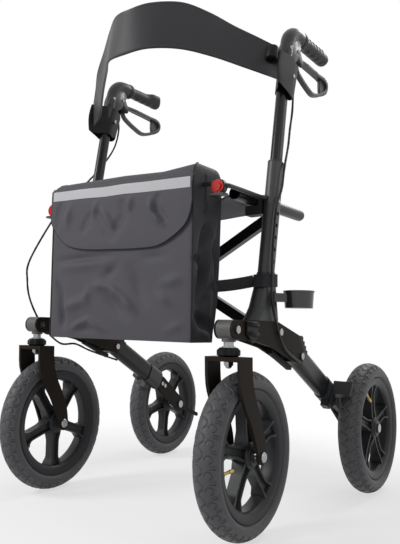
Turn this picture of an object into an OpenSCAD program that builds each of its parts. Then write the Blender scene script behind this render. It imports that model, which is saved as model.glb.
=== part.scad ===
// All terrain rollator with four large air tyres, a cross folding frame,
// height adjustable handles, a sling seat, a shopping bag and a back band.
// Millimetres. +Z is up, the front is -Y, and +X is the walker's left side.

/* [Wheels] */
// Radius of every wheel
wheel_r = 150; // [140:1:160]
// Width of a tyre
tyre_w = 50; // [44:1:54]
// Depth of a tyre from its tread to the rim
tyre_depth = 38; // [32:1:44]
// Width of the rim
rim_w = 36; // [30:1:38]
// Radial depth of the rim ring
rim_depth = 16; // [10:1:22]
// Radius of the wheel hub
hub_r = 24; // [20:1:30]
// Length of the wheel hub
hub_len = 44; // [38:1:48]
// Number of spokes in a wheel
spoke_count = 5; // [3:1:7]
// Width of a spoke
spoke_w = 24; // [18:1:28]
// Thickness of a spoke along the axle
spoke_t = 20; // [14:1:28]
// Wall of the channel in a spoke
spoke_wall = 4; // [2:0.5:6]
// Radius of the wheel axles
axle_r = 6; // [5:0.5:8]
// Radius of a tyre valve
valve_r = 3.5; // [2.5:0.5:5]
// Length of a tyre valve
valve_len = 28; // [20:1:34]

/* [Layout] */
// Distance between the front and the rear axles
wheelbase = 509; // [490:1:540]
// Distance of each side frame from the middle
frame_x = 250; // [235:1:260]
// Distance of each rear wheel from its side frame
rear_offset = 50.5; // [48:0.5:56]
// Distance of the swivel axis ahead of the front axle
caster_trail = 59.5; // [50:0.5:70]

/* [Casters] */
// Gap between a front tyre and the fork crown over it
crown_gap = 18; // [14:1:26]
// Thickness of the fork crown
crown_t = 8; // [6:0.5:10]
// Gap between a tyre and the fork beside it
fork_gap = 4.5; // [3:0.5:8]
// Thickness of a fork leg
fork_leg_t = 6; // [4:0.5:8]
// Width of a fork leg at the top
fork_top_w = 44; // [38:1:50]
// Radius of a fork leg's end at the axle
fork_end_r = 14; // [11:0.5:16]
// Radius of the swivel stem
stem_r = 6; // [5:0.5:8]
// Height of the swivel housing's axis above the fork
barrel_up = 48; // [44:1:54]
// Radius of the swivel housing
barrel_r = 17; // [15:0.5:18]
// Length of the swivel housing behind its front bolt
head_len = 41; // [34:1:46]

/* [Side frames] */
// Rearward lean of the posts in degrees
post_lean = 10.7; // [8:0.1:13]
// Place of the post axis along the frame, at the height below
post_y = -132; // [-140:1:-125]
// Height above the side plates at which the place of the post is given
post_ref_up = 326; // [310:1:340]
// Height of the top of the lower tube above that place
post_top_up = 13; // [6:1:20]
// Round radius of the lower tube
post_r = 14; // [13:0.5:15]
// Half of the flat on the side of the lower tube
post_flat = 5; // [4:0.5:6]
// Wall of the tubes
tube_wall = 2; // [1.5:0.25:2.5]
// Thickness of a side plate
plate_t = 4; // [3:0.5:5]
// Length of the post's foot
foot_len = 95; // [85:1:110]
// Slope of the rear leg in degrees
leg_angle = 27.7; // [26:0.1:29]
// Distance of the rear leg's end ahead of the rear axle
leg_end_ahead = 118.5; // [112:0.5:124]
// Drop of the rear leg's end below the swivel housing
leg_end_drop = 144; // [138:1:150]
// Length of the rear leg
leg_len = 278; // [270:1:284]
// Half of the flat on the side of the rear leg
leg_flat = 11; // [9:0.5:12]
// Thickness of the axle plate
axle_plate_t = 6; // [5:0.5:8]
// Spacing of the height holes
hole_pitch = 25; // [22:0.5:28]
// Number of height holes
hole_count = 6; // [4:1:7]
// Radius of a height hole
hole_r = 4; // [3:0.25:5]
// Radius of the bolts in the side plates
bolt_r = 4; // [3:0.25:5]

/* [Seat and cross brace] */
// Distance of each seat rail from the middle
rail_x = 215; // [210:1:218]
// Height of the seat rails above the swivel housings
rail_up = 264; // [256:1:270]
// Radius of a seat rail
rail_r = 12.5; // [11:0.25:13]
// Front end of the seat rails
rail_front = -235; // [-237:1:-225]
// Length of the seat rails
rail_len = 306; // [280:1:320]
// Drop of the brace's lower pivots below the swivel housings
pivot_drop = 9; // [6:1:14]
// Half height of a brace bar
bar_r = 11; // [9:0.5:14]
// Width of a brace bar
bar_w = 18; // [14:1:19]
// Radius of the brace pivots
pin_r = 5; // [4:0.25:6]
// Sag of the seat cloth
seat_sag = 10; // [6:1:30]
// Thickness of the seat cloth
seat_t = 4; // [3:0.5:6]
// Depth of the seat from front to back
seat_len = 185; // [170:1:260]

/* [Handles] */
// Round radius of the sliding tube
slide_r = 10.5; // [9.5:0.25:11.5]
// Half of the flat on the side of the sliding tube
slide_flat = 4; // [3:0.5:5]
// Length of the sliding tube inside the lower tube
slide_inside = 165; // [150:1:175]
// Height of the grips above the place of the post
grip_up = 321; // [310:1:330]
// Radius of a grip
grip_r = 15; // [14:0.5:16]
// Length of a grip
grip_len = 160; // [140:1:165]
// Bend radius of the handle
bend_r = 42; // [38:1:46]
// Radius of the bar inside a grip
core_r = 10; // [8:0.5:11]
// Radius of the brake lever's loop
lever_r = 6; // [5:0.5:7]
// Width of the brake lever
lever_w = 14; // [12:0.5:15]

/* [Bag and band] */
// Half of the width of the bag
bag_half_w = 187; // [175:1:187]
// Height of the bag up to the edge of its lid
bag_h = 321; // [310:1:330]
// Rise of the bag's edge over the seat rails
bag_rise = 34; // [26:1:38]
// Distance of the bag's front ahead of the swivel axis
bag_ahead = 23; // [18:1:30]
// Depth of the bag
bag_depth = 97; // [80:1:99]
// Thickness of the bag's flap
flap_t = 4; // [3:0.5:6]
// Height of the back band in the middle
band_h = 107; // [90:1:115]
// Height of the back band at the posts
band_end_h = 75; // [66:1:84]
// Thickness of the back band
band_t = 5; // [4:0.5:7]
// Radius of the stick cup's inside
cup_r = 24; // [22:0.5:26]
// Height of the stick cup
cup_h = 34; // [28:1:40]

/* [Hidden] */
$fn = 48;

// Clearances: a turning fit, a fixed seat, and room between moving pieces
run = 0.05;
seat = 0.3;
room = 0.5;

// Step between the round end of a bar and its flat sides
web_step = 0.2;

// Side of the walker: 1 is left, -1 is right
left = 1;
right = -1;

// Heights, from the floor up
rim_r = wheel_r - tyre_depth;
fork_top = 2 * wheel_r + crown_gap + crown_t;
barrel_z = fork_top + barrel_up;
plate_top = barrel_z + barrel_r;
foot_top = plate_top + foot_len;
post_ref_z = barrel_z + post_ref_up;
post_top = post_ref_z + post_top_up;
leg_end_z = barrel_z - leg_end_drop;
rail_z = barrel_z + rail_up;
pivot_z = barrel_z - pivot_drop;
grip_z = post_ref_z + grip_up;
bag_top = rail_z + bag_rise;
bag_bottom = bag_top - bag_h;

// Places along the frame
front_axle_y = -wheelbase / 2;
rear_axle_y = wheelbase / 2;
stem_y = front_axle_y - caster_trail;
rear_x = frame_x + rear_offset;
leg_end_y = rear_axle_y - leg_end_ahead;
bag_front = stem_y - bag_ahead;

// Side plates: inner and outer faces beside the tubes
plate_in = post_r + seat;
plate_out = plate_in + plate_t;
front_bolt_ahead = 4;
mid_bolt_back = 164;
mid_bolt_drop = 3;
rear_bolt_back = 262;
rear_bolt_drop = 52;
front_bolt = [stem_y - front_bolt_ahead, barrel_z];
mid_bolt = [stem_y + mid_bolt_back, barrel_z - mid_bolt_drop];
rear_bolt = [stem_y + rear_bolt_back, barrel_z - rear_bolt_drop];
plate_bolts = [front_bolt, mid_bolt, rear_bolt];
bolt_head_r = bolt_r + 3;
bolt_head_t = 4;
spacer_r = bolt_head_r + 2;

// Corners of a side plate: distances behind the swivel axis and drops below the housing's axis
plate_shoulder = 155;
plate_tail = 252;
plate_tail_drop = 9;
plate_lip = 14;
plate_lip_up = 8;
plate_toe = 4;
plate_toe_drop = 20;
arch_back = 206;
arch_back_drop = 56;
arch_mid = 142;
arch_mid_drop = 35;
arch_front = 64;
arch_front_drop = 21;

// Caster pieces
fork_in = tyre_w / 2 + fork_gap;
fork_out = fork_in + fork_leg_t;
neck_r = stem_r + 6.5;
neck_z = fork_top + 26;
stem_top = barrel_z - bolt_r - 3;
collar_h = 14;

// Brace: the two bars lie one behind the other
brace_gap = 2;
brace_y_a = -104;
brace_y_b = brace_y_a + bar_w + brace_gap;
bar_top_z = rail_z - 26;
pivot_mid_z = (pivot_z + bar_top_z) / 2;
clamp_t = 6;
lug_t = 5;
lug_r = 12;

// Handle: the slide meets the grip line at the corner of the bend
grip_corner = (grip_z - post_ref_z) / cos(post_lean);
bend_angle = 90 - post_lean;
bend_cut = bend_r * tan(bend_angle / 2);
bend_start = grip_corner - bend_cut;
grip_y0 = post_y + grip_corner * sin(post_lean) + bend_cut;
head_r = 16;
head_from = bend_start - 56;
slide_top = bend_start - 4;
post_top_t = (post_top - post_ref_z) / cos(post_lean);
post_foot_t = -post_ref_up - 26;
button_t = post_top_t - 84;
collar_t = 3;
collar_len = 26;

// Brake lever, in the plane of the handle: pivot, then the loop's corners
lever_pivot = [grip_y0 + 12, grip_z - 46];
lever_tip = [grip_y0 + 164, grip_z - 71];
lever_loop = [
  lever_pivot, [grip_y0 + 136, grip_z - 53], lever_tip, [grip_y0 + 136, grip_z - 96],
  [grip_y0 + 76, grip_z - 106], [grip_y0 + 6, grip_z - 82]];
lever_pin_r = 3;
cheek_t = 4;
cheek_r = 8;
cheek_top = [grip_y0 - 8, grip_z - 12];
cheek_low = [grip_y0 - 40, grip_z - 62];

// Brake: the shoe stands off the tyre ahead of and above the rear axle
shoe_angle = 36;
shoe_gap = 4.2;
shoe_t = 14;
shoe_len = 34;
shoe_reach = wheel_r + shoe_gap;
shoe_y = rear_axle_y - (shoe_reach + shoe_t / 2) * cos(shoe_angle);
shoe_z = wheel_r + (shoe_reach + shoe_t / 2) * sin(shoe_angle);
arm_len = 40;
arm_pivot = [shoe_y - arm_len * sin(shoe_angle), shoe_z - arm_len * cos(shoe_angle)];
arm_pin_r = 4;
arm_t = 5;
end_r = post_r + 2;

// Axle plate: its outer face, and its bolts to the rear leg's end
axle_plate_x = frame_x + 1.5;
axle_bolt_drop = [34, 48];
axle_bolts = [for (d = axle_bolt_drop)
  [leg_end_y + d * cos(leg_angle), leg_end_z - d * sin(leg_angle)]];
cap_t = 12;

// Place of the brake pivot up the rear leg, and out from the leg's middle
arm_up = (arm_pivot - [leg_end_y, leg_end_z]) * [-cos(leg_angle), sin(leg_angle)];
arm_off = (arm_pivot - [leg_end_y, leg_end_z]) * [sin(leg_angle), cos(leg_angle)];

// Bag hanger, reflector and saddle
hanger_gap = 51;
hanger_x = bag_half_w + hanger_gap;
hanger_z = rail_z + 17;
hanger_r = 4.5;
hanger_front = stem_y + 14;
reflector_gap = 33;
reflector_x = bag_half_w + reflector_gap;
reflector_r = 13;
saddle_z = rail_z - 32;

// Flap: the front panel of the lid turns about the bag's top front edge
flap_drop = 145;
flap_corner = [112, 33];
flap_step = 30;

// Bag: where its back leans in, how far, and how its lid is crowned
bag_knee = 220;
bag_taper = 22;
bag_crown = 11;

// Stick cup on the outside of the left post
cup_x = frame_x + 47;
cup_y = post_y + 5;
cup_z = barrel_z + 44;

// Edges of the band: share of the half width, distance ahead of the posts, and height, from the middle to a post
band_post_z = grip_z - 96;
band_post_t = (band_post_z - post_ref_z) / cos(post_lean);
band_post_y = post_y + band_post_t * sin(post_lean);
band_low_half = [[0, -236, 0], [0.216, -222, 4], [0.408, -175, 7], [0.609, -129, -7], [0.79, -85, -25], [0.92, -48, -41], [1, -27, -52]];
band_high_half = [[0, -223, 107], [0.183, -208, 115], [0.398, -166, 116], [0.588, -133, 91], [0.764, -107, 60], [0.9, -76, 39], [1, -47, 23]];
band_grow = [(band_h - 107) / 2, (band_end_h - 75) / 2];
function band_edge(half, up) = [for (i = [1 - len(half) : len(half) - 1])
  let(p = half[abs(i)], grow = band_grow[0] + (band_grow[1] - band_grow[0]) * p[0])
  [sign(i) * p[0] * frame_x, band_post_y + p[1], grip_z - 78 + p[2] + up * grow]];
band_low = band_edge(band_low_half, -1);
band_high = band_edge(band_high_half, 1);

// Routes of the brake cables, from the handle to the rear leg
cable_r = 2.5;
left_cable_route = [
  [frame_x, post_y + 82, grip_z - 87], [frame_x, post_y + 86, grip_z - 121],
  [frame_x, post_y + 82, grip_z - 171], [frame_x + 2, post_y + 65, grip_z - 219],
  [frame_x + 6, post_y + 48, post_ref_z + 62], [frame_x + 18.5, post_y + 4, post_ref_z + 5],
  [frame_x + 21, post_y - 15, hanger_z], [frame_x + 19, post_y - 32, post_ref_z - 80], [frame_x + 20, post_y - 51, plate_top + 139],
  [frame_x + 22, post_y - 59, plate_top + 79], [frame_x + 22, post_y - 59, plate_top + 42],
  [frame_x + 22, post_y - 40, barrel_z + 12], [frame_x + 22, post_y - 6, barrel_z - 34],
  [frame_x + 22, rear_bolt[0] - 10, rear_bolt[1] - 14]];
right_cable_route = [
  [-frame_x, post_y + 82, grip_z - 87], [-frame_x, post_y + 86, grip_z - 121],
  [-frame_x - 2, post_y + 72, grip_z - 171], [-frame_x - 12, post_y + 42, grip_z - 221],
  [-frame_x - 28, post_y + 1, post_ref_z + 47], [-frame_x - 38, post_y - 58, post_ref_z - 10],
  [-frame_x - 40, post_y - 106, post_ref_z - 66], [-frame_x - 40, post_y - 177, plate_top + 135],
  [-frame_x - 40, post_y - 183, plate_top + 86], [-frame_x - 38, post_y - 172, barrel_z + 54],
  [-frame_x - 31, stem_y + 44, barrel_z - 2], [-frame_x - 14, stem_y + 86, barrel_z - 43],
  [-frame_x, stem_y + 125, barrel_z - 45], [-frame_x, stem_y + 172, barrel_z - 60],
  [-frame_x, stem_y + 217, barrel_z - 72], [-frame_x, stem_y + 284, barrel_z - 88.3]];

// Point on a smooth curve through four points, at u from 0 to 1
function spline(a, b, c, d, u) =
  0.5 * (2 * b + (c - a) * u + (2 * a - 5 * b + 4 * c - d) * u * u
    + (3 * b - a - 3 * c + d) * u * u * u);

// Smooth route through a list of points, with some steps in each stretch
function smooth(p, steps) = let(n = len(p) - 1) concat(
  [for (i = [0 : n - 1], k = [0 : steps - 1])
    spline(p[max(i - 1, 0)], p[i], p[i + 1], p[min(i + 2, n)], k / steps)],
  [p[n]]);

// Direction of a route at one of its points
function tangent(p, i) =
  let(d = p[min(i + 1, len(p) - 1)] - p[max(i - 1, 0)]) d / norm(d);

function unit(v) = v / norm(v);

// Tube of a radius along a smooth route
module tube(route, r, steps, sides) {
  p = smooth(route, steps);
  n = len(p);
  rings = [for (i = [0 : n - 1])
    let(t = tangent(p, i), a = unit(cross(t, [1, 0.2, 0])), b = cross(t, a))
    for (k = [0 : sides - 1]) p[i] + r * (cos(360 * k / sides) * a + sin(360 * k / sides) * b)];
  skin = [for (i = [0 : n - 2], k = [0 : sides - 1])
    let(k2 = (k + 1) % sides, q = i * sides)
    each [[q + k, q + sides + k2, q + k2], [q + k, q + sides + k, q + sides + k2]]];
  start = [[for (k = [0 : sides - 1]) k]];
  finish = [[for (k = [0 : sides - 1]) n * sides - 1 - k]];
  polyhedron(rings, concat(skin, start, finish), convexity = 10);
}

// Strip of even thickness that stands on edge between two smooth lines
module strip(low, high, t, steps) {
  p = smooth(low, steps);
  q = smooth(high, steps);
  n = len(p);
  pts = [for (i = [0 : n - 1])
    let(d = tangent(p, i) + tangent(q, i), side = unit([d[1], -d[0], 0]) * t / 2)
    each [p[i] + side, q[i] + side, q[i] - side, p[i] - side]];
  skin = [for (i = [0 : n - 2], k = [0 : 3])
    let(k2 = (k + 1) % 4, q = i * 4)
    each [[q + k, q + k2, q + 4 + k2], [q + k, q + 4 + k2, q + 4 + k]]];
  polyhedron(pts, concat(skin, [[3, 2, 1, 0]], [[for (k = [0 : 3]) (n - 1) * 4 + k]]), convexity = 10);
}

// Outline with straight sides and round ends, its length along Y
module stadium(r, flat) {
  for (s = [-1, 1]) translate([0, s * flat]) circle(r);
  translate([-r, -flat]) square([2 * r, 2 * flat]);
}

// Straight web between two points of a plane, a little narrower than the round ends it joins
module web(p, q, r) {
  d = q - p;
  half = r - web_step;
  translate(p) rotate(atan2(d[1], d[0])) translate([0, -half]) square([norm(d), 2 * half]);
}

// Straight bar with round ends between two points of a plane
module bar(p, q, r) {
  translate(p) circle(r);
  translate(q) circle(r);
  web(p, q, r);
}

// Chain of bars through a list of points
module chain(points, r) {
  for (p = points) translate(p) circle(r);
  for (i = [0 : len(points) - 2]) web(points[i], points[i + 1], r);
}

// Extrudes an outline drawn in Y and Z from x0 to x1
module across(x0, x1) {
  translate([x0, 0, 0]) rotate([90, 0, 90]) linear_extrude(x1 - x0) children();
}

// Extrudes an outline drawn in X and Z from y0 to y1
module along(y0, y1) {
  translate([0, y1, 0]) rotate([90, 0, 0]) linear_extrude(y1 - y0) children();
}

// Rod along X from x0 to x1 at a place in Y and Z
module rod_x(p, r, x0, x1) {
  translate([x0, p[0], p[1]]) rotate([0, 90, 0]) cylinder(r = r, h = x1 - x0);
}

// Rod along Y from y0 to y1 at a place in X and Z
module rod_y(p, r, y0, y1) {
  translate([p[0], y0, p[1]]) rotate([-90, 0, 0]) cylinder(r = r, h = y1 - y0);
}

// Draws a left piece, or its mirror image on the right
module on_side(s) {
  if (s == left) children();
  else mirror([1, 0, 0]) children();
}

// Frame of the left post: its Z axis runs up the tube
module at_post() {
  translate([frame_x, post_y, post_ref_z]) rotate([-post_lean, 0, 0]) children();
}

// Frame of the left rear leg: its Z axis runs up the leg from its end
module at_leg() {
  translate([frame_x, leg_end_y, leg_end_z]) rotate([90 - leg_angle, 0, 0]) children();
}

module post_tube(s) {
  color("#26272a") on_side(s) at_post() difference() {
    translate([0, 0, post_foot_t]) linear_extrude(post_top_t - post_foot_t) difference() {
      stadium(post_r, post_flat);
      stadium(post_r - tube_wall, post_flat);
    }
    for (i = [0 : hole_count - 1]) translate([0, 0, button_t - i * hole_pitch])
      rotate([0, 90, 0]) cylinder(r = hole_r, h = post_r + 1);
  }
}

// Solid outline of the flared foot, before the post passes through it
module foot_form(grow, parts = [0, 1, 2]) {
  base_z = plate_top + seat;
  low_z = base_z + 24;
  mid_z = base_z + 56;
  top_y = post_y + (foot_top - post_ref_z) * tan(post_lean);
  mid_y = post_y + (mid_z - post_ref_z) * tan(post_lean);
  low_y = post_y + (low_z - post_ref_z) * tan(post_lean);
  base_y = post_y + (base_z - post_ref_z) * tan(post_lean);
  slab = 1;
  sections = [[base_y, base_z, post_r + 2.5, [-39, 33]], [low_y, low_z, post_r + 2.3, [-23, 25.5]],
    [mid_y, mid_z, post_r + 2, [-13.6, 15.4]], [top_y, foot_top - slab, post_r + 1.5, [-post_flat, post_flat]]];
  module section(at, inset) {
    translate([frame_x, at[0], at[1]]) linear_extrude(slab) hull() for (y = at[3])
      translate([0, y]) circle(at[2] + grow - inset, $fn = 32);
  }
  for (i = parts) hull() {
    section(sections[i], i > 0 ? web_step : 0);
    section(sections[i + 1], 0);
  }
}

module post_foot(s) {
  color("#2a2b2d") on_side(s) difference() {
    foot_form(0);
    at_post() translate([0, 0, post_foot_t]) linear_extrude(post_top_t - post_foot_t)
      stadium(post_r + seat, post_flat);
  }
}

// Bush in the mouth of the lower tube that guides the sliding tube
module post_collar(s) {
  color("#1c1d1f") on_side(s) at_post() difference() {
    union() {
      translate([0, 0, post_top_t + seat]) linear_extrude(collar_t) stadium(post_r, post_flat);
      translate([0, 0, post_top_t - collar_len]) linear_extrude(collar_len + seat)
        stadium(post_r - tube_wall - run, post_flat);
    }
    translate([0, 0, post_top_t - collar_len - 1]) linear_extrude(collar_len + collar_t + 2)
      stadium(slide_r + seat, slide_flat);
  }
}

// Outline of a side plate: deep at the post, with an arch under its tail
module plate_outline() {
  translate(front_bolt) circle(barrel_r);
  polygon([
    [front_bolt[0], plate_top], [stem_y + plate_shoulder, plate_top],
    [stem_y + plate_tail, barrel_z - plate_tail_drop],
    [rear_bolt[0] + plate_lip, rear_bolt[1] + plate_lip_up],
    [rear_bolt[0] + plate_toe, rear_bolt[1] - plate_toe_drop],
    [stem_y + arch_back, barrel_z - arch_back_drop], [stem_y + arch_mid, barrel_z - arch_mid_drop],
    [stem_y + arch_front, barrel_z - arch_front_drop], [front_bolt[0], barrel_z - barrel_r]]);
}

module side_plates(s) {
  pivot_y = s == left ? brace_y_a : brace_y_b;
  lug_in = bar_w / 2 + room;
  color("#221f1d") on_side(s) difference() {
    union() {
      for (x = [frame_x + plate_in, frame_x - plate_out])
        across(x, x + plate_t) difference() {
          plate_outline();
          for (b = plate_bolts) translate(b) circle(bolt_r + run);
        }
      for (y = [pivot_y - lug_in - lug_t, pivot_y + lug_in])
        along(y, y + lug_t) intersection() {
          bar([rail_x, pivot_z], [frame_x, pivot_z], lug_r);
          translate([0, pivot_z - lug_r]) square([frame_x - plate_in - plate_t / 2, 2 * lug_r]);
        }
    }
    rod_y([rail_x, pivot_z], pin_r + run, pivot_y - lug_in - lug_t - 1, pivot_y + lug_in + lug_t + 1);
  }
}

module caster_head(s) {
  color("#3a3a3b") on_side(s) difference() {
    union() {
      rod_x(front_bolt, barrel_r, frame_x - post_r, frame_x + post_r);
      translate([frame_x - post_r, front_bolt[0], barrel_z - barrel_r + 3])
        cube([2 * post_r, head_len, 2 * barrel_r - 6]);
      translate([frame_x, stem_y, neck_z]) cylinder(r = neck_r, h = barrel_z - neck_z);
    }
    translate([frame_x, stem_y, neck_z - 1]) cylinder(r = stem_r + run, h = stem_top - neck_z + 2);
    rod_x(front_bolt, bolt_r + run, frame_x - plate_out, frame_x + plate_out);
  }
}

module rear_leg(s) {
  color("#2b2c2e") on_side(s) difference() {
    at_leg() linear_extrude(leg_len) difference() {
      stadium(post_r, leg_flat);
      stadium(post_r - tube_wall, leg_flat);
    }
    rod_x(rear_bolt, bolt_r + run, frame_x - plate_out, frame_x + plate_out);
    rod_x(mid_bolt, spacer_r + seat, frame_x - plate_out, frame_x + plate_out);
  }
}

// Socket on the end of the rear leg, with a lug for the axle plate and a boss for the brake
module leg_end(s) {
  lug_half = 19;
  lug_x = axle_plate_x + seat - frame_x;
  lug_end = axle_bolt_drop[1] + 12;
  boss_x = end_r - 1;
  boss_low = arm_off - 8;
  module ring() {
    difference() {
      stadium(end_r, leg_flat);
      stadium(post_r + run, leg_flat);
    }
  }
  color("#1f2022") on_side(s) {
    at_leg() {
      translate([0, 0, -cap_t]) linear_extrude(cap_t) stadium(end_r, leg_flat);
      linear_extrude(arm_up + 20) ring();
      translate([0, 0, arm_up - 10]) linear_extrude(20) difference() {
        translate([0, boss_low]) square([boss_x, -leg_flat - boss_low]);
        stadium(post_r + run, leg_flat);
      }
      translate([lug_x, 0, 0]) rotate([90, 0, 90]) linear_extrude(boss_x - 1 - lug_x) difference() {
        translate([-lug_half, -lug_end]) square([2 * lug_half, lug_end - cap_t / 2]);
        for (d = axle_bolt_drop) translate([0, -d]) circle(bolt_r - 1 + run);
      }
    }
    rod_x(arm_pivot, arm_pin_r, frame_x + boss_x - 4, frame_x + end_r + arm_t + 2);
  }
}

// Plate from the leg's end to the rear axle, with the peg for tipping over kerbs
module axle_plate(s) {
  peg_from = [rear_axle_y + 12, wheel_r - 10];
  peg_to = [rear_axle_y + 94, wheel_r - 38];
  color("#242528") on_side(s) {
    across(axle_plate_x - axle_plate_t, axle_plate_x) difference() {
      union() {
        bar(axle_bolts[0], [rear_axle_y, wheel_r], 20);
        bar(peg_from, peg_to, 5.5);
      }
      translate([rear_axle_y, wheel_r]) circle(axle_r + run);
      for (b = axle_bolts) translate(b) circle(bolt_r - 1 + run);
    }
  }
}

// Bolts of one side frame: plates, axle plate, brace pivot and rear axle
module frame_bolts(s) {
  pivot_y = s == left ? brace_y_a : brace_y_b;
  pin_half = bar_w / 2 + room + lug_t;
  plate_x = axle_plate_x;
  lug_face = frame_x + end_r - 2;
  hub_in = rear_x - hub_len / 2;
  color("silver") on_side(s) {
    for (b = plate_bolts) {
      rod_x(b, bolt_r, frame_x - plate_out, frame_x + plate_out);
      rod_x(b, bolt_head_r, frame_x + plate_out, frame_x + plate_out + bolt_head_t);
      rod_x(b, bolt_head_r, frame_x - plate_out - bolt_head_t, frame_x - plate_out);
    }
    rod_x(mid_bolt, spacer_r, frame_x - plate_in, frame_x + plate_in);
    for (b = axle_bolts) {
      rod_x(b, bolt_r - 1, plate_x - axle_plate_t, lug_face);
      rod_x(b, bolt_r + 1.5, plate_x - axle_plate_t - 3, plate_x - axle_plate_t);
      rod_x(b, bolt_r + 1.5, lug_face, lug_face + 2);
    }
    rod_y([rail_x, pivot_z], pin_r, pivot_y - pin_half, pivot_y + pin_half);
    for (y = [pivot_y - pin_half - 4, pivot_y + pin_half]) rod_y([rail_x, pivot_z], pin_r + 3, y, y + 4);
    rod_x([rear_axle_y, wheel_r], axle_r, plate_x - axle_plate_t - 1, rear_x + hub_len / 2 + 2);
    rod_x([rear_axle_y, wheel_r], axle_r + 4, plate_x - axle_plate_t - 5, plate_x - axle_plate_t);
    rod_x([rear_axle_y, wheel_r], axle_r + 5, plate_x, hub_in - seat);
    rod_x([rear_axle_y, wheel_r], axle_r + 4, rear_x + hub_len / 2 + seat, rear_x + hub_len / 2 + 2.7);
  }
}

// Ledge on the inside of the post on which the seat rail rests, open above and towards the seat
module seat_saddle(s) {
  saddle_y = post_y + (saddle_z - post_ref_z) * tan(post_lean);
  half = 13;
  x0 = rail_x - rail_r - 4;
  x1 = frame_x - post_r - seat;
  color("#18191a") on_side(s) translate([0, saddle_y + half, 0]) rotate([90, 0, 0]) linear_extrude(2 * half)
    polygon([[x0, saddle_z], [x1, saddle_z], [x1, rail_z], [rail_x + rail_r + room, rail_z],
      [rail_x + rail_r + room, rail_z - rail_r - room], [x0, rail_z - rail_r - room]]);
}

// Arm clamped round the post that carries the bag and the reflector
module bag_hanger(s) {
  clamp_z = (hanger_z - post_ref_z) / cos(post_lean);
  clamp_h = 16;
  post_at_z = post_y + (hanger_z - post_ref_z) * tan(post_lean);
  cup_depth = 12;
  color("#1b1b1c") on_side(s) difference() {
    union() {
      at_post() translate([0, 0, clamp_z - clamp_h / 2]) linear_extrude(clamp_h) stadium(post_r + 3, post_flat);
      rod_y([hanger_x, hanger_z], hanger_r, hanger_front, post_at_z);
      rod_x([post_at_z, hanger_z], hanger_r, min(hanger_x, frame_x), max(hanger_x, frame_x));
      along(hanger_front - cup_depth / 2, hanger_front + cup_depth / 2) {
        bar([hanger_x, hanger_z], [reflector_x, rail_z - 1], hanger_r + 1);
        translate([reflector_x, rail_z - 1]) circle(reflector_r + 2);
      }
      rod_x([hanger_front, rail_z + 8], hanger_r, bag_half_w + seat, reflector_x);
    }
    at_post() translate([0, 0, clamp_z - clamp_h]) linear_extrude(2 * clamp_h) stadium(post_r + seat, post_flat);
  }
}

module reflector(s) {
  face = hanger_front - 6;
  color("#d8231c") on_side(s) {
    rod_y([reflector_x, rail_z - 1], reflector_r, face - 3, face);
    rod_y([reflector_x, rail_z - 1], reflector_r - 4, face - 5, face - 2);
  }
}

// Arm that swings the brake shoe against the rear tyre
module brake_arm(s) {
  arm_x = frame_x + end_r + seat;
  shoe_to = rear_x + 8;
  color("#2c2d30") on_side(s) difference() {
    union() {
      across(arm_x, arm_x + arm_t) bar(arm_pivot, [shoe_y, shoe_z], 7);
      translate([arm_x, shoe_y, shoe_z]) rotate([90 - shoe_angle, 0, 0])
        translate([0, -shoe_len / 2, -shoe_t / 2]) cube([shoe_to - arm_x, shoe_len, shoe_t]);
    }
    rod_x(arm_pivot, arm_pin_r + run, arm_x - 1, arm_x + arm_t + 1);
  }
}

module brake_cable(s) {
  color("#151515") {
    if (s == left) tube(left_cable_route, cable_r, 5, 8);
    else tube(right_cable_route, cable_r, 5, 8);
  }
}

// Outline of a fork leg: straight at the crown, then back to the axle
module fork_leg_outline() {
  half = fork_top_w / 2;
  rear_edge = [[stem_y + half, fork_top], [stem_y + half + 2, fork_top - 41], [stem_y + half + 14, fork_top - 74],
    [front_axle_y - 5.5, wheel_r + 68], [front_axle_y + fork_end_r - 5, wheel_r + 33],
    [front_axle_y + fork_end_r, wheel_r + 5]];
  front_edge = [[front_axle_y - fork_end_r, wheel_r + 2], [front_axle_y - fork_end_r - 13, wheel_r + 32],
    [front_axle_y - fork_end_r - 28, wheel_r + 61], [stem_y - half + 19, fork_top - 85],
    [stem_y - half + 3, fork_top - 49], [stem_y - half, fork_top]];
  translate([front_axle_y, wheel_r]) circle(fork_end_r);
  polygon(concat(smooth(rear_edge, 3), smooth(front_edge, 3)));
}

module fork(s) {
  half = fork_top_w / 2;
  color("#2a2522") on_side(s) difference() {
    union() {
      for (x = [frame_x + fork_in, frame_x - fork_out]) across(x, x + fork_leg_t) fork_leg_outline();
      translate([frame_x - fork_out, stem_y - half, fork_top - crown_t])
        cube([2 * fork_out, 2 * half, crown_t]);
    }
    translate([frame_x, stem_y, fork_top - crown_t - 1]) cylinder(r = stem_r + run, h = crown_t + 2);
    rod_x([front_axle_y, wheel_r], axle_r + run, frame_x - fork_out - 1, frame_x + fork_out + 1);
  }
}

// Swivel stem with its nuts, and the front axle with its spacers
module caster_bolts(s) {
  nut_r = stem_r + 4;
  under = fork_top - crown_t;
  axle = [front_axle_y, wheel_r];
  color("silver") on_side(s) {
    translate([frame_x, stem_y, under - 10]) cylinder(r = stem_r, h = stem_top - under + 10);
    translate([frame_x, stem_y, under - 8]) cylinder(r = nut_r, h = 8, $fn = 6);
    translate([frame_x, stem_y, under - 10]) sphere(r = stem_r + 1);
    translate([frame_x, stem_y, fork_top]) cylinder(r = nut_r + 5, h = collar_h, $fn = 6);
    translate([frame_x, stem_y, fork_top + 4]) cylinder(r = nut_r + 7, h = 4);
    rod_x(axle, axle_r, frame_x - fork_out - 1, frame_x + fork_out + 1);
    for (m = [0, 1]) translate([frame_x, 0, 0]) mirror([m, 0, 0]) {
      rod_x(axle, axle_r + 4, hub_len / 2 + seat, fork_in);
      rod_x(axle, axle_r + 3, fork_out, fork_out + 5);
    }
  }
}

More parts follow.
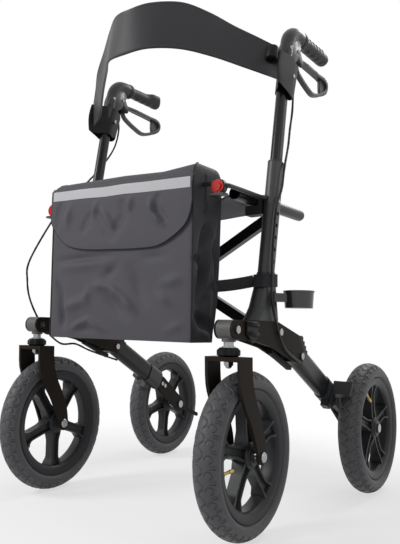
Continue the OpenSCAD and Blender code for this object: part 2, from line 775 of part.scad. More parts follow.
module tyre(x, y) {
  color("#3a3a3c") translate([x, y, wheel_r]) rotate([0, 90, 0]) rotate_extrude() difference() {
    translate([wheel_r - tyre_w / 2, 0]) circle(tyre_w / 2);
    translate([0, -tyre_w]) square([rim_r, 2 * tyre_w]);
  }
}

// Rim with channel spokes, hub and valve
module rim(x, y) {
  inner = rim_r - rim_depth;
  color("#2f3032") translate([x, y, wheel_r]) rotate([0, 90, 0]) difference() {
    union() {
      rotate_extrude() translate([inner, -rim_w / 2]) square([rim_depth - run, rim_w]);
      cylinder(r = hub_r, h = hub_len, center = true);
      for (i = [0 : spoke_count - 1]) rotate(360 * i / spoke_count) difference() {
        translate([hub_r / 2, -spoke_w / 2, -spoke_t / 2]) cube([inner + 2 - hub_r / 2, spoke_w, spoke_t]);
        for (z = [spoke_wall / 2, -spoke_t]) translate([hub_r + spoke_wall, spoke_wall - spoke_w / 2, z])
          cube([inner - hub_r - 3 * spoke_wall, spoke_w - 2 * spoke_wall, spoke_t - spoke_wall / 2]);
      }
      rotate(180 / spoke_count) translate([inner - valve_len, 0, 0]) rotate([0, 90, 0])
        cylinder(r = valve_r, h = valve_len + 2);
    }
    cylinder(r = axle_r + run, h = hub_len + 2, center = true);
  }
}

module handle_tube(s) {
  color("#1f2021") on_side(s) at_post() difference() {
    translate([0, 0, post_top_t - slide_inside]) linear_extrude(slide_top - post_top_t + slide_inside)
      difference() {
        stadium(slide_r, slide_flat);
        stadium(slide_r - tube_wall, slide_flat);
      }
    translate([0, 0, button_t]) rotate([0, 90, 0]) cylinder(r = hole_r - 0.2, h = slide_r + 1);
  }
}

// Knuckle that turns the handle from the post to the grip, with the lever's cheeks
module handle_head(s) {
  cheek_in = lever_w / 2 + room;
  color("#8d8c88") on_side(s) difference() {
    union() {
      at_post() translate([0, 0, head_from]) linear_extrude(bend_start - head_from) stadium(slide_r + 4, slide_flat);
      at_post() translate([0, bend_r, bend_start]) rotate([90, 0, -90])
        rotate_extrude(angle = bend_angle) translate([bend_r, 0]) circle(head_r);
      rod_y([frame_x, grip_z], head_r + 0.8, grip_y0 - 3, grip_y0 + 10);
      rod_y([frame_x, grip_z], core_r, grip_y0, grip_y0 + grip_len - 12);
      for (x = [frame_x + cheek_in, frame_x - cheek_in - cheek_t]) across(x, x + cheek_t) {
        chain([cheek_top, lever_pivot, cheek_low], cheek_r);
        polygon([cheek_top, lever_pivot, cheek_low]);
      }
      rod_x(lever_pivot, lever_pin_r, frame_x - cheek_in - 1, frame_x + cheek_in + 1);
    }
    at_post() translate([0, 0, post_top_t]) linear_extrude(slide_top - post_top_t + run)
      stadium(slide_r + run, slide_flat);
  }
}

// Grip with a raised palm rest at its end
module grip(s) {
  from = grip_y0 + 10 + seat;
  to = grip_y0 + grip_len;
  color("#29292b") on_side(s) difference() {
    union() {
      rod_y([frame_x, grip_z], grip_r, from, to - 4);
      hull() {
        translate([frame_x, to - 62, grip_z + 2]) sphere(r = grip_r - 2, $fn = 24);
        translate([frame_x + 4, to - 22, grip_z + 8]) sphere(r = grip_r + 1, $fn = 24);
        translate([frame_x, to - 18, grip_z - 2]) sphere(r = grip_r + 2, $fn = 24);
      }
    }
    rod_y([frame_x, grip_z], core_r + run, from - 1, grip_y0 + grip_len - 12 + seat);
  }
}

// Brake lever: a closed loop that swings up towards the grip
module brake_lever(s) {
  half = lever_w / 2;
  color("#4a4b4d") on_side(s) difference() {
    across(frame_x - half, frame_x + half)
      {
        chain(lever_loop, lever_r);
        web(lever_loop[len(lever_loop) - 1], lever_pivot, lever_r);
      }
    rod_x(lever_pivot, lever_pin_r + run, frame_x - half - 1, frame_x + half + 1);
  }
}

// Spring button that locks the sliding tube in a height hole
module height_button(s) {
  color("silver") on_side(s) at_post() translate([0, 0, button_t]) rotate([0, 90, 0]) {
    translate([0, 0, slide_r - tube_wall - 6]) cylinder(r = hole_r - 0.3, h = post_r + 2 - slide_r + tube_wall + 6);
  }
}

// Bar of the cross brace from one lower pivot to the clamp of the opposite rail
module brace_bar(s, y) {
  half = bar_w / 2;
  foot = [rail_x, pivot_z];
  head = [-rail_x, bar_top_z];
  color("#141415") on_side(s) difference() {
    along(y - half, y + half) difference() {
      union() {
        bar(foot, head, bar_r);
        bar(head, [-rail_x, rail_z], rail_r);
        translate([-rail_x, rail_z]) circle(rail_r + clamp_t);
      }
      translate(foot) circle(pin_r + run);
      translate([0, pivot_mid_z]) circle(pin_r + run);
      translate([-rail_x, rail_z]) circle(rail_r + run);
    }
  }
}

module brace_pin() {
  y0 = brace_y_a - bar_w / 2;
  y1 = brace_y_b + bar_w / 2;
  head_t = 4;
  color("silver") {
    rod_y([0, pivot_mid_z], pin_r, y0 - 1, y1 + 1);
    rod_y([0, pivot_mid_z], pin_r + 4, y0 - head_t, y0);
    rod_y([0, pivot_mid_z], pin_r + 4, y1 + seat, y1 + seat + head_t);
  }
}

// Seat rail, open at the front and capped at the rear
module seat_rail(s) {
  socket = 60;
  color("#232425") on_side(s) difference() {
    union() {
      rod_y([rail_x, rail_z], rail_r, rail_front, rail_front + rail_len - rail_r);
      translate([rail_x, rail_front + rail_len - rail_r, rail_z]) sphere(r = rail_r);
    }
    rod_y([rail_x, rail_z], rail_r - tube_wall, rail_front - 1, rail_front + socket);
  }
}

// Cloth seat that hangs between the rails
module seat_sling() {
  steps = 16;
  reach = rail_x - rail_r - seat;
  front = rail_front + 8;
  rear = front + seat_len;
  dip = [for (i = [0 : steps]) let(x = -reach + 2 * reach * i / steps)
    [x, rail_z - seat_sag * (1 - x * x / (reach * reach))]];
  notch = clamp_t + room;
  color("#4a4a4c") difference() {
    along(front, rear) polygon(concat(dip, [for (i = [steps : -1 : 0]) dip[i] - [0, seat_t]]));
    for (x = [-reach - 1, reach - notch]) translate([x, brace_y_a - bar_w / 2 - 2, rail_z - seat_sag])
      cube([notch + 1, brace_y_b - brace_y_a + bar_w + 4, 2 * seat_sag]);
  }
}

// Shopping bag, deeper at the top than at the bottom
module bag_body() {
  back = bag_front + bag_depth;
  color("#46464a") across(-bag_half_w, bag_half_w) polygon([
    [bag_front, bag_bottom], [bag_front, bag_top - 12], [bag_front + 8, bag_top],
    [bag_front + 28, bag_top + bag_crown], [back - 10, bag_top + 8], [back, bag_top - 6],
    [back - 4, bag_top - bag_knee], [back - bag_taper, bag_bottom]]);
}

// Front panel of the bag's lid, with cut corners at its lower edge
module bag_flap() {
  top = bag_top - 6;
  low = bag_top - flap_drop;
  face = bag_front - seat;
  color("#3c3c40") along(face - flap_t, face) polygon([
    [-bag_half_w, top], [bag_half_w, top], [bag_half_w, low + 2 * flap_corner[1]],
    [bag_half_w - flap_step, low + flap_corner[1] - 6], [flap_corner[0], low], [-flap_corner[0], low],
    [-bag_half_w + flap_step, low + flap_corner[1] - 6], [-bag_half_w, low + 2 * flap_corner[1]]]);
}

// Back band that bows forward between the handles and is sleeved on both of them
module backrest_band() {
  sleeve = 4;
  sleeve_len = 64;
  end_low = band_low[len(band_low) - 1];
  end_high = band_high[len(band_high) - 1];
  color("#2d2d2f") difference() {
    union() {
      strip(band_low, band_high, band_t, 6);
      for (s = [left, right]) on_side(s) hull() {
        at_post() translate([0, 0, head_from - room - sleeve_len]) linear_extrude(sleeve_len)
          stadium(slide_r + seat + sleeve, slide_flat);
        strip([for (x = [-band_t, 0]) end_low + [x, 0, 0]], [for (x = [-band_t, 0]) end_high + [x, 0, 0]], band_t, 1);
      }
    }
    for (s = [left, right]) on_side(s) at_post() {
      translate([0, 0, head_from - 2 * band_end_h]) linear_extrude(3 * band_end_h)
        stadium(slide_r + seat, slide_flat);
      translate([0, 0, head_from - room]) linear_extrude(band_end_h) stadium(slide_r + 4 + room, slide_flat);
    }
  }
}

// Cup that holds the foot of a walking stick
module stick_cup() {
  floor_t = 3;
  wall = 2.5;
  arm_w = 16;
  color("#2b2c2e") difference() {
    union() {
      translate([cup_x, cup_y, cup_z]) cylinder(r1 = cup_r + wall, r2 = cup_r + wall + 2.5, h = cup_h);
      translate([cup_x, cup_y, cup_z + cup_h - 3]) cylinder(r = cup_r + wall + 3.5, h = 3);
      translate([cup_x, cup_y, cup_z + cup_h / 3]) rotate(225)
        translate([cup_r, -arm_w / 2, 0]) cube([40, arm_w, cup_h / 2]);
    }
    translate([cup_x, cup_y, cup_z + floor_t]) cylinder(r = cup_r, h = cup_h);
    foot_form(seat, [1]);
  }
}

post_tube(left);  // left_post_tube
post_tube(right);  // right_post_tube
post_foot(left);  // left_post_foot
post_foot(right);  // right_post_foot
post_collar(left);  // left_post_collar
post_collar(right);  // right_post_collar
side_plates(left);  // left_side_plates
side_plates(right);  // right_side_plates
caster_head(left);  // left_caster_head
caster_head(right);  // right_caster_head
rear_leg(left);  // left_rear_leg
rear_leg(right);  // right_rear_leg
leg_end(left);  // left_leg_end
leg_end(right);  // right_leg_end
axle_plate(left);  // left_axle_plate
axle_plate(right);  // right_axle_plate
frame_bolts(left);  // left_frame_bolts
frame_bolts(right);  // right_frame_bolts
seat_saddle(left);  // left_seat_saddle
seat_saddle(right);  // right_seat_saddle
bag_hanger(left);  // left_bag_hanger
bag_hanger(right);  // right_bag_hanger
reflector(left);  // left_reflector
reflector(right);  // right_reflector
brake_arm(left);  // left_brake_arm
brake_arm(right);  // right_brake_arm
brake_cable(left);  // left_brake_cable
brake_cable(right);  // right_brake_cable
fork(left);  // left_fork
fork(right);  // right_fork
caster_bolts(left);  // left_caster_bolts
caster_bolts(right);  // right_caster_bolts
tyre(frame_x, front_axle_y);  // left_front_tyre
tyre(-frame_x, front_axle_y);  // right_front_tyre
rim(frame_x, front_axle_y);  // left_front_rim
rim(-frame_x, front_axle_y);  // right_front_rim
tyre(rear_x, rear_axle_y);  // left_rear_tyre
tyre(-rear_x, rear_axle_y);  // right_rear_tyre
rim(rear_x, rear_axle_y);  // left_rear_rim
rim(-rear_x, rear_axle_y);  // right_rear_rim
handle_tube(left);  // left_handle_tube
handle_tube(right);  // right_handle_tube
handle_head(left);  // left_handle_head
handle_head(right);  // right_handle_head
grip(left);  // left_grip
grip(right);  // right_grip
brake_lever(left);  // left_brake_lever
brake_lever(right);  // right_brake_lever
height_button(left);  // left_height_button
height_button(right);  // right_height_button
brace_bar(left, brace_y_a);  // brace_bar_a
brace_bar(right, brace_y_b);  // brace_bar_b
brace_pin();
seat_rail(left);  // left_seat_rail
seat_rail(right);  // right_seat_rail
seat_sling();
bag_body();
bag_flap();
backrest_band();
stick_cup();
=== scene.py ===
"""Looks of an all terrain rollator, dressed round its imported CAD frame.

Every piece is a numpy surface: a function of two parameters sampled on a grid, or an outline
carried along a line. Shapes are written in millimetres in the frame of the CAD model (front at
-Y, top at +Z, the stick cup on the +X side) and become metres when a mesh is made.
"""

from __future__ import annotations

import logging
import math
from dataclasses import dataclass, replace
from enum import Enum
from typing import Mapping, Sequence

import bmesh
import bpy
import numpy as np
from mathutils import Matrix, Vector

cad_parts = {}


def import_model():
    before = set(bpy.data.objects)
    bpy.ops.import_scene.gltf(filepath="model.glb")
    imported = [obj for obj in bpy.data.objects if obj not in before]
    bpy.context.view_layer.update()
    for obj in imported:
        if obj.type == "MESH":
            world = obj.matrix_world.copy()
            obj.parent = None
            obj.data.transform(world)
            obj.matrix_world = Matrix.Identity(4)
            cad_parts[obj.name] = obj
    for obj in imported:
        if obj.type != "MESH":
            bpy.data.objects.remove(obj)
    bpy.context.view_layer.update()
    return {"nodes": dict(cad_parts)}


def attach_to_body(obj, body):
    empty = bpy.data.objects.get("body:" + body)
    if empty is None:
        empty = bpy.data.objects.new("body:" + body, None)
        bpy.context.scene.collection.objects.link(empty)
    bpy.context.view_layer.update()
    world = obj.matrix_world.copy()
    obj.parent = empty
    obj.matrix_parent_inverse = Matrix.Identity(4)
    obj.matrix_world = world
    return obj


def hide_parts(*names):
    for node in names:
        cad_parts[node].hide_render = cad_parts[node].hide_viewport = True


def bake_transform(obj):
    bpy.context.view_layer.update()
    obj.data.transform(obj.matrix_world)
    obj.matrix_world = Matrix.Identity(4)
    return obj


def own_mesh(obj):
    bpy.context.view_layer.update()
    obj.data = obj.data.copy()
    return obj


LOG = logging.getLogger("rollator")
MM = 0.001
Array = np.ndarray
Point = Sequence[float]
Fold = tuple[Point, Point, float, float]
Object = bpy.types.Object
Socket = bpy.types.NodeSocket
Node = bpy.types.Node
# Metres within which points of a mesh are joined
WELD = 2e-6
# How far a finish's roughness strays below and above its own value
GLOSS_SPREAD = (0.06, 0.08)
# Millimetres: the left post, the left rear wheel, the rear axles, the swivel stems, the wheels' radius
POST_X = 250.0
REAR_X = 300.5
AXLE_Y = 254.5
STEM_Y = -314.0
WHEEL_R = 150.0


class Side(Enum):
    """The two sides of the walker; left is +X."""

    LEFT = 1
    RIGHT = -1

    def of(self, part: str) -> str:
        """Name of a part, body or piece on this side."""
        return f"{self.name.lower()}_{part}"

    def place(self, points: Sequence) -> Array:
        """Copy of points given for the left side, mirrored for the right one."""
        return np.asarray(points, float) * (self.value, 1, 1)


class Texture(Enum):
    """Kinds of surface detail that a finish can have."""

    GRAIN = "Grain"
    WEAVE = "Weave"
    NET = "Net"
    BRUSHED = "Brushed"


class Line:
    """Smooth lines and closed outlines, as arrays of points."""

    @staticmethod
    def smooth(points: Sequence[Point], steps: int, closed: bool = False) -> Array:
        """Catmull-Rom line: between two points, the cubic whose slopes follow their neighbours.

        Args:
            points: Points that the line passes through.
            steps: Parts into which each stretch is cut.
            closed: Whether the last point joins the first.

        Returns:
            The points of the line.
        """
        p = np.asarray(points, float)
        p = np.vstack([p[-1:], p, p[:2]]) if closed else np.vstack([p[:1], p, p[-1:]])
        a, b, c, d = (p[i : len(p) - 3 + i, None] for i in range(4))
        u = np.linspace(0, 1, steps, endpoint=False)[None, :, None]
        line = b + 0.5 * u * (c - a + u * (2 * a - 5 * b + 4 * c - d + u * (3 * (b - c) + d - a)))
        line = line.reshape(-1, p.shape[1])
        return line if closed else np.vstack([line, p[-2]])

    @staticmethod
    def run(line: Array) -> Array:
        """Distance along a line at each of its points."""
        return np.concatenate([[0], np.cumsum(np.linalg.norm(np.diff(line, axis=0), axis=1))])

    @staticmethod
    def unit(rows: Array) -> Array:
        """Rows scaled to length 1."""
        return rows / np.linalg.norm(rows, axis=1, keepdims=True)

    @staticmethod
    def at_x(x: float, flat: Array) -> Array:
        """Points (y, z) set in the plane at x."""
        return np.column_stack([np.full(len(flat), float(x)), flat])

    @staticmethod
    def mirrored(half: Sequence[Point]) -> Array:
        """Closed outline from its half on the positive side, which starts and ends on the axis."""
        p = np.asarray(half, float)
        return np.vstack([p, p[-2:0:-1] * (-1, 1)])

    @staticmethod
    def even(line: Array, count: int, closed: bool = False) -> Array:
        """Points at equal distances along a line.

        Args:
            line: The line's points.
            count: How many points to return.
            closed: Whether the last point joins the first.

        Returns:
            The evenly spaced points.
        """
        p = np.vstack([line, line[:1]]) if closed else line
        run = Line.run(p)
        at = np.linspace(0, run[-1], count, endpoint=not closed)
        return np.stack([np.interp(at, run, p[:, k]) for k in range(p.shape[1])], 1)

    @staticmethod
    def oval(half_w: float, half_h: float, power: float = 2.0, count: int = 32) -> Array:
        """Superellipse: cosine and sine raised to 2/power, so a high power is nearly a box.

        Args:
            half_w: Half the width.
            half_h: Half the height.
            power: 2 for an ellipse, more for squarer corners.
            count: Number of points.

        Returns:
            The closed outline, anticlockwise.
        """
        a = np.linspace(0, 2 * np.pi, count, endpoint=False)
        c, s = np.cos(a), np.sin(a)
        e = 2 / power
        return np.stack([half_w * np.sign(c) * abs(c) ** e, half_h * np.sign(s) * abs(s) ** e], 1)

    @staticmethod
    def box(half_w: float, half_h: float, radius: float, per: int = 5) -> Array:
        """Rectangle with quarter circles at its corners.

        Args:
            half_w: Half the width.
            half_h: Half the height.
            radius: Corner radius.
            per: Points on each corner.

        Returns:
            The closed outline, anticlockwise from the right side.
        """
        a = np.linspace(0, np.pi / 2, per)
        arc = radius * np.stack([np.cos(a), np.sin(a)], 1)
        turn = [((1, 0), (0, 1)), ((0, -1), (1, 0)), ((-1, 0), (0, -1)), ((0, 1), (-1, 0))]
        signs = [(1, 1), (-1, 1), (-1, -1), (1, -1)]
        inner = np.array([half_w - radius, half_h - radius])
        return np.vstack([arc @ np.array(t).T + inner * s for t, s in zip(turn, signs)])


class Form:
    """Grids of points for swept, turned and closed surfaces."""

    @staticmethod
    def sweep(line: Array, outline: Array, up: Point = (0, 0, 1), closed: bool = False) -> Array:
        """Outline carried along a line, square to it, with its second axis towards up.

        Args:
            line: Points of the line.
            outline: Points (n, 2), or one such outline for each point of the line.
            up: Direction that the outline's second axis leans to.
            closed: Whether the line is a loop.

        Returns:
            Grid of points, one row for each point of the line.
        """
        ahead = np.roll(line, -1, 0) - np.roll(line, 1, 0)
        if not closed:
            ahead[0], ahead[-1] = line[1] - line[0], line[-1] - line[-2]
        ahead = Line.unit(ahead)
        side = Line.unit(np.cross(ahead, np.asarray(up, float)))
        lift = np.cross(side, ahead)
        o = np.broadcast_to(outline, (len(line),) + outline.shape[-2:])
        return line[:, None] + o[..., :1] * side[:, None] + o[..., 1:] * lift[:, None]

    @staticmethod
    def turn(
        profile: Sequence[Point],
        centre: Point,
        axis: Point = (1, 0, 0),
        start: Point = (0, 1, 0),
        count: int = 48,
    ) -> Array:
        """Profile turned about an axis: each point (along, radius) becomes a circle.

        Args:
            profile: Points (along the axis, radius).
            centre: Point on the axis where along is 0.
            axis: Direction of the axis.
            start: Direction of the first radius.
            count: Points on each circle.

        Returns:
            Grid of points, one row for each angle.
        """
        n = np.asarray(axis, float) / np.linalg.norm(axis)
        s = np.asarray(start, float) - n * np.dot(start, n)
        s /= np.linalg.norm(s)
        a = np.linspace(0, 2 * np.pi, count, endpoint=False)[:, None, None]
        spoke = np.cos(a) * s + np.sin(a) * np.cross(n, s)
        p = np.asarray(profile, float)[None]
        return np.asarray(centre, float) + p[..., :1] * n + p[..., 1:] * spoke

    @staticmethod
    def closed_ends(grid: Array) -> Array:
        """Grid with its first and last rows drawn in to their middles."""
        ends = [np.broadcast_to(r.mean(0), r.shape)[None] for r in (grid[0], grid[-1])]
        return np.concatenate([ends[0], grid, ends[1]])

    @staticmethod
    def rod(line: Array, outline: Array, up: Point = (0, 0, 1)) -> Array:
        """Sweep with closed ends; the arguments are those of sweep."""
        return Form.closed_ends(Form.sweep(np.asarray(line, float), outline, up))

    @staticmethod
    def sheet(front: Array, back: Array) -> Array:
        """Thin closed sheet: front and back faces joined round all four edges.

        Args:
            front: Grid of points of the front face.
            back: Grid of the same size for the back face.

        Returns:
            Grid whose columns run down the front and up the back.
        """
        middle = (front + back) / 2
        loop = np.concatenate([middle[:, :1], front, middle[:, -1:], back[:, ::-1]], 1)
        pinch = np.concatenate([middle[:, :1], middle, middle[:, -1:], middle[:, ::-1]], 1)
        return np.concatenate([pinch[:1], loop, pinch[-1:]])

    @staticmethod
    def slab(outline: Sequence[Point], x0: float, x1: float, bevel: float = 1.2) -> Array:
        """Closed plate with softened edges: a Y-Z outline stretched across.

        Args:
            outline: Points (y, z).
            x0: Inner face.
            x1: Outer face.
            bevel: Size of the softened edge.

        Returns:
            Grid of points.
        """
        p = Line.even(np.asarray(outline, float), 96, closed=True)
        middle = p.mean(0)
        small = middle + (p - middle) * (1 - bevel / np.linalg.norm(p - middle, axis=1).mean())
        rows = [(x0, small), (x0 + bevel, p), (x1 - bevel, p), (x1, small)]
        return Form.closed_ends(np.stack([Line.at_x(x, q) for x, q in rows]))


@dataclass(frozen=True)
class Patch:
    """One grid of points with its joins and its material slot."""

    points: Array
    wrap_rows: bool = False
    wrap_cols: bool = True
    slot: int | Array = 0

    def corners(self) -> tuple[Array, Array]:
        """Row and column of each face's four corners, past the end where the grid joins up."""
        n, m = self.points.shape[:2]
        rows, cols = np.arange(n - (not self.wrap_rows)), np.arange(m - (not self.wrap_cols))
        i, j = (k.reshape(-1, 1) for k in np.meshgrid(rows, cols, indexing="ij"))
        return i + np.array([0, 1, 1, 0]), j + np.array([0, 0, 1, 1])

    def faces(self) -> Array:
        """Point numbers of each face."""
        n, m = self.points.shape[:2]
        i, j = self.corners()
        return (i % n) * m + j % m

    def uvs(self) -> Array:
        """Distances in metres along the rows and the columns, for each face corner."""
        p = self.points
        rows = np.linalg.norm(np.roll(p, -1, 0) - p, axis=2).mean(1)
        cols = np.linalg.norm(np.roll(p, -1, 1) - p, axis=2).mean(0)
        u = np.concatenate([[0], np.cumsum(rows)]) * MM
        v = np.concatenate([[0], np.cumsum(cols)]) * MM
        i, j = self.corners()
        return np.stack([u[i], v[j]], 2)


class Graph:
    """Nodes of a material, a world or a node group."""

    def __init__(self, tree: bpy.types.NodeTree) -> None:
        """Takes hold of a tree."""
        self.nodes, self.links = tree.nodes, tree.links

    def fill(self, node: Node, inputs: Mapping[str | int, object]) -> Node:
        """Sets inputs of a node.

        Args:
            node: The node.
            inputs: By name or number, a socket to link or a value.

        Returns:
            The node.
        """
        for key, value in inputs.items():
            if isinstance(value, Socket):
                self.links.new(value, node.inputs[key])
            else:
                node.inputs[key].default_value = value
        return node

    def add(self, kind: str, inputs: Mapping[str | int, object] | None = None, **settings: object) -> Node:
        """New node.

        Args:
            kind: The node's type, without its prefix.
            inputs: What goes into it, as for fill.
            settings: Its own properties, which are set first.

        Returns:
            The node.
        """
        node = self.nodes.new(f"ShaderNode{kind}")
        for key, value in settings.items():
            setattr(node, key, value)
        return self.fill(node, inputs or {})

    def math(self, operation: str, *values: float | Socket) -> Socket:
        """Output of a Math node with that operation and those inputs."""
        return self.add("Math", dict(enumerate(values)), operation=operation).outputs[0]


@dataclass(frozen=True)
class Finish:
    """A procedural material and the record's slot that it belongs to."""

    slot: str
    colour: str
    rough: float
    texture: Texture = Texture.GRAIN
    scale: float = 1400.0
    bump: float = 0.12
    depth: float = 0.0003
    vary: float = 0.12
    metallic: float = 0.0
    specular: float = 0.5

    def tint(self, gain: float) -> tuple[float, float, float, float]:
        """Linear colour of the hexadecimal one, made lighter or darker by gain."""
        c = np.array([int(self.colour[i : i + 2], 16) / 255 for i in (1, 3, 5)])
        c = np.where(c <= 0.04045, c / 12.92, ((c + 0.055) / 1.055) ** 2.4) * gain
        return (*np.clip(c, 0, 1).tolist(), 1.0)

    def material(self) -> bpy.types.Material:
        """Builds the material once: shared texture group, cloudy colour, varied gloss and bump.

        Returns:
            The material, the same one at each call.
        """
        name = f"{self.slot}_{self.colour[1:]}"
        if name in bpy.data.materials:
            return bpy.data.materials[name]
        made = bpy.data.materials.new(name)
        made.use_nodes = True
        graph = Graph(made.node_tree)
        place = graph.add("TexCoord").outputs
        woven = self.texture in (Texture.WEAVE, Texture.NET)
        group = graph.add(
            "Group",
            {"Scale": self.scale, "Vector": place["UV" if woven else "Object"], "Place": place["Object"]},
            node_tree=TextureGroup(self.texture).tree(),
        ).outputs
        dark, light = self.tint(1 - self.vary), self.tint(1 + self.vary)
        mix = graph.add("Mix", {"A": dark, "B": light, "Factor": group["Cloud"]}, data_type="RGBA")
        low, high = self.rough - GLOSS_SPREAD[0], min(1.0, self.rough + GLOSS_SPREAD[1])
        gloss = graph.add("MapRange", {"To Min": low, "To Max": high, "Value": group["Cloud"]})
        bump = graph.add("Bump", {"Strength": self.bump, "Distance": self.depth, "Height": group["Height"]})
        shader = {
            "Base Color": mix.outputs["Result"],
            "Roughness": gloss.outputs["Result"],
            "Normal": bump.outputs["Normal"],
            "Metallic": self.metallic,
            "Specular IOR Level": self.specular,
        }
        graph.fill(graph.nodes["Principled BSDF"], shader)
        return made


class TextureGroup:
    """A shared node group that gives a height for the bump and a slow cloud for colour and gloss."""

    def __init__(self, kind: Texture) -> None:
        """Remembers which kind of surface detail the group makes."""
        self.kind = kind
        self.graph: Graph

    def tree(self) -> bpy.types.NodeTree:
        """The node group of this kind, made at the first call."""
        name = f"{self.kind.value} texture"
        if name in bpy.data.node_groups:
            return bpy.data.node_groups[name]
        made = bpy.data.node_groups.new(name, "ShaderNodeTree")
        for label, kind in (("Vector", "Vector"), ("Place", "Vector"), ("Scale", "Float")):
            made.interface.new_socket(label, in_out="INPUT", socket_type=f"NodeSocket{kind}")
        for label in ("Height", "Cloud"):
            made.interface.new_socket(label, in_out="OUTPUT", socket_type="NodeSocketFloat")
        self.graph = Graph(made)
        start = made.nodes.new("NodeGroupInput").outputs
        make = {
            Texture.GRAIN: self.grain,
            Texture.WEAVE: self.weave,
            Texture.NET: self.net,
            Texture.BRUSHED: self.brushed,
        }[self.kind]
        cloud = self.noise(start["Place"], 14.0, 4.0)
        self.graph.fill(made.nodes.new("NodeGroupOutput"), {"Height": make(start), "Cloud": cloud})
        return made

    def noise(self, vector: Socket, scale: float | Socket, detail: float) -> Socket:
        """Noise at a place.

        Args:
            vector: Where the noise is read.
            scale: Its scale, a number or a socket.
            detail: Finer layers that are added.

        Returns:
            Socket with the noise, from 0 to 1.
        """
        inputs = {"Detail": detail, "Vector": vector, "Scale": scale}
        return self.graph.add("TexNoise", inputs).outputs["Fac"]

    def grain(self, start: bpy.types.NodeOutputs) -> Socket:
        """Fine even noise, as on moulded plastic, rubber or powder coat."""
        return self.noise(start["Vector"], start["Scale"], 2.0)

    def brushed(self, start: bpy.types.NodeOutputs) -> Socket:
        """Noise drawn out along one direction, as on turned or brushed metal."""
        stretch = self.graph.add("Mapping", {"Scale": (1.0, 1.0, 0.08), "Vector": start["Vector"]})
        return self.noise(stretch.outputs["Vector"], start["Scale"], 3.0)

    def threads(self, start: bpy.types.NodeOutputs) -> tuple[Socket, ...]:
        """The two UV distances counted in threads."""
        split = self.graph.add("SeparateXYZ", {0: start["Vector"]}).outputs
        return tuple(self.graph.math("MULTIPLY", split[k], start["Scale"]) for k in range(2))

    def crown(self, thread: Socket) -> Socket:
        """Height of a round thread: the absolute sine of its place."""
        math_of = self.graph.math
        return math_of("ABSOLUTE", math_of("SINE", math_of("MULTIPLY", thread, math.pi)))

    def weave(self, start: bpy.types.NodeOutputs) -> Socket:
        """Plain weave: warp and weft thread crowns, each on top in every other square."""
        math_of = self.graph.math
        u, v = self.threads(start)
        parity = math_of("PINGPONG", math_of("ADD", math_of("FLOOR", u), math_of("FLOOR", v)), 1.0)
        over = math_of("MULTIPLY", self.crown(u), parity)
        under = math_of("MULTIPLY", self.crown(v), math_of("SUBTRACT", 1.0, parity))
        fuzz = self.noise(start["Place"], 260.0, 3.0)
        return math_of("ADD", math_of("ADD", over, under), fuzz)

    def net(self, start: bpy.types.NodeOutputs) -> Socket:
        """Ribbed webbing: the product of the two thread crowns, with the ribs twice as wide."""
        u, v = self.threads(start)
        wide = self.graph.math("MULTIPLY", v, 0.5)
        return self.graph.math("MULTIPLY", self.crown(u), self.crown(wide))


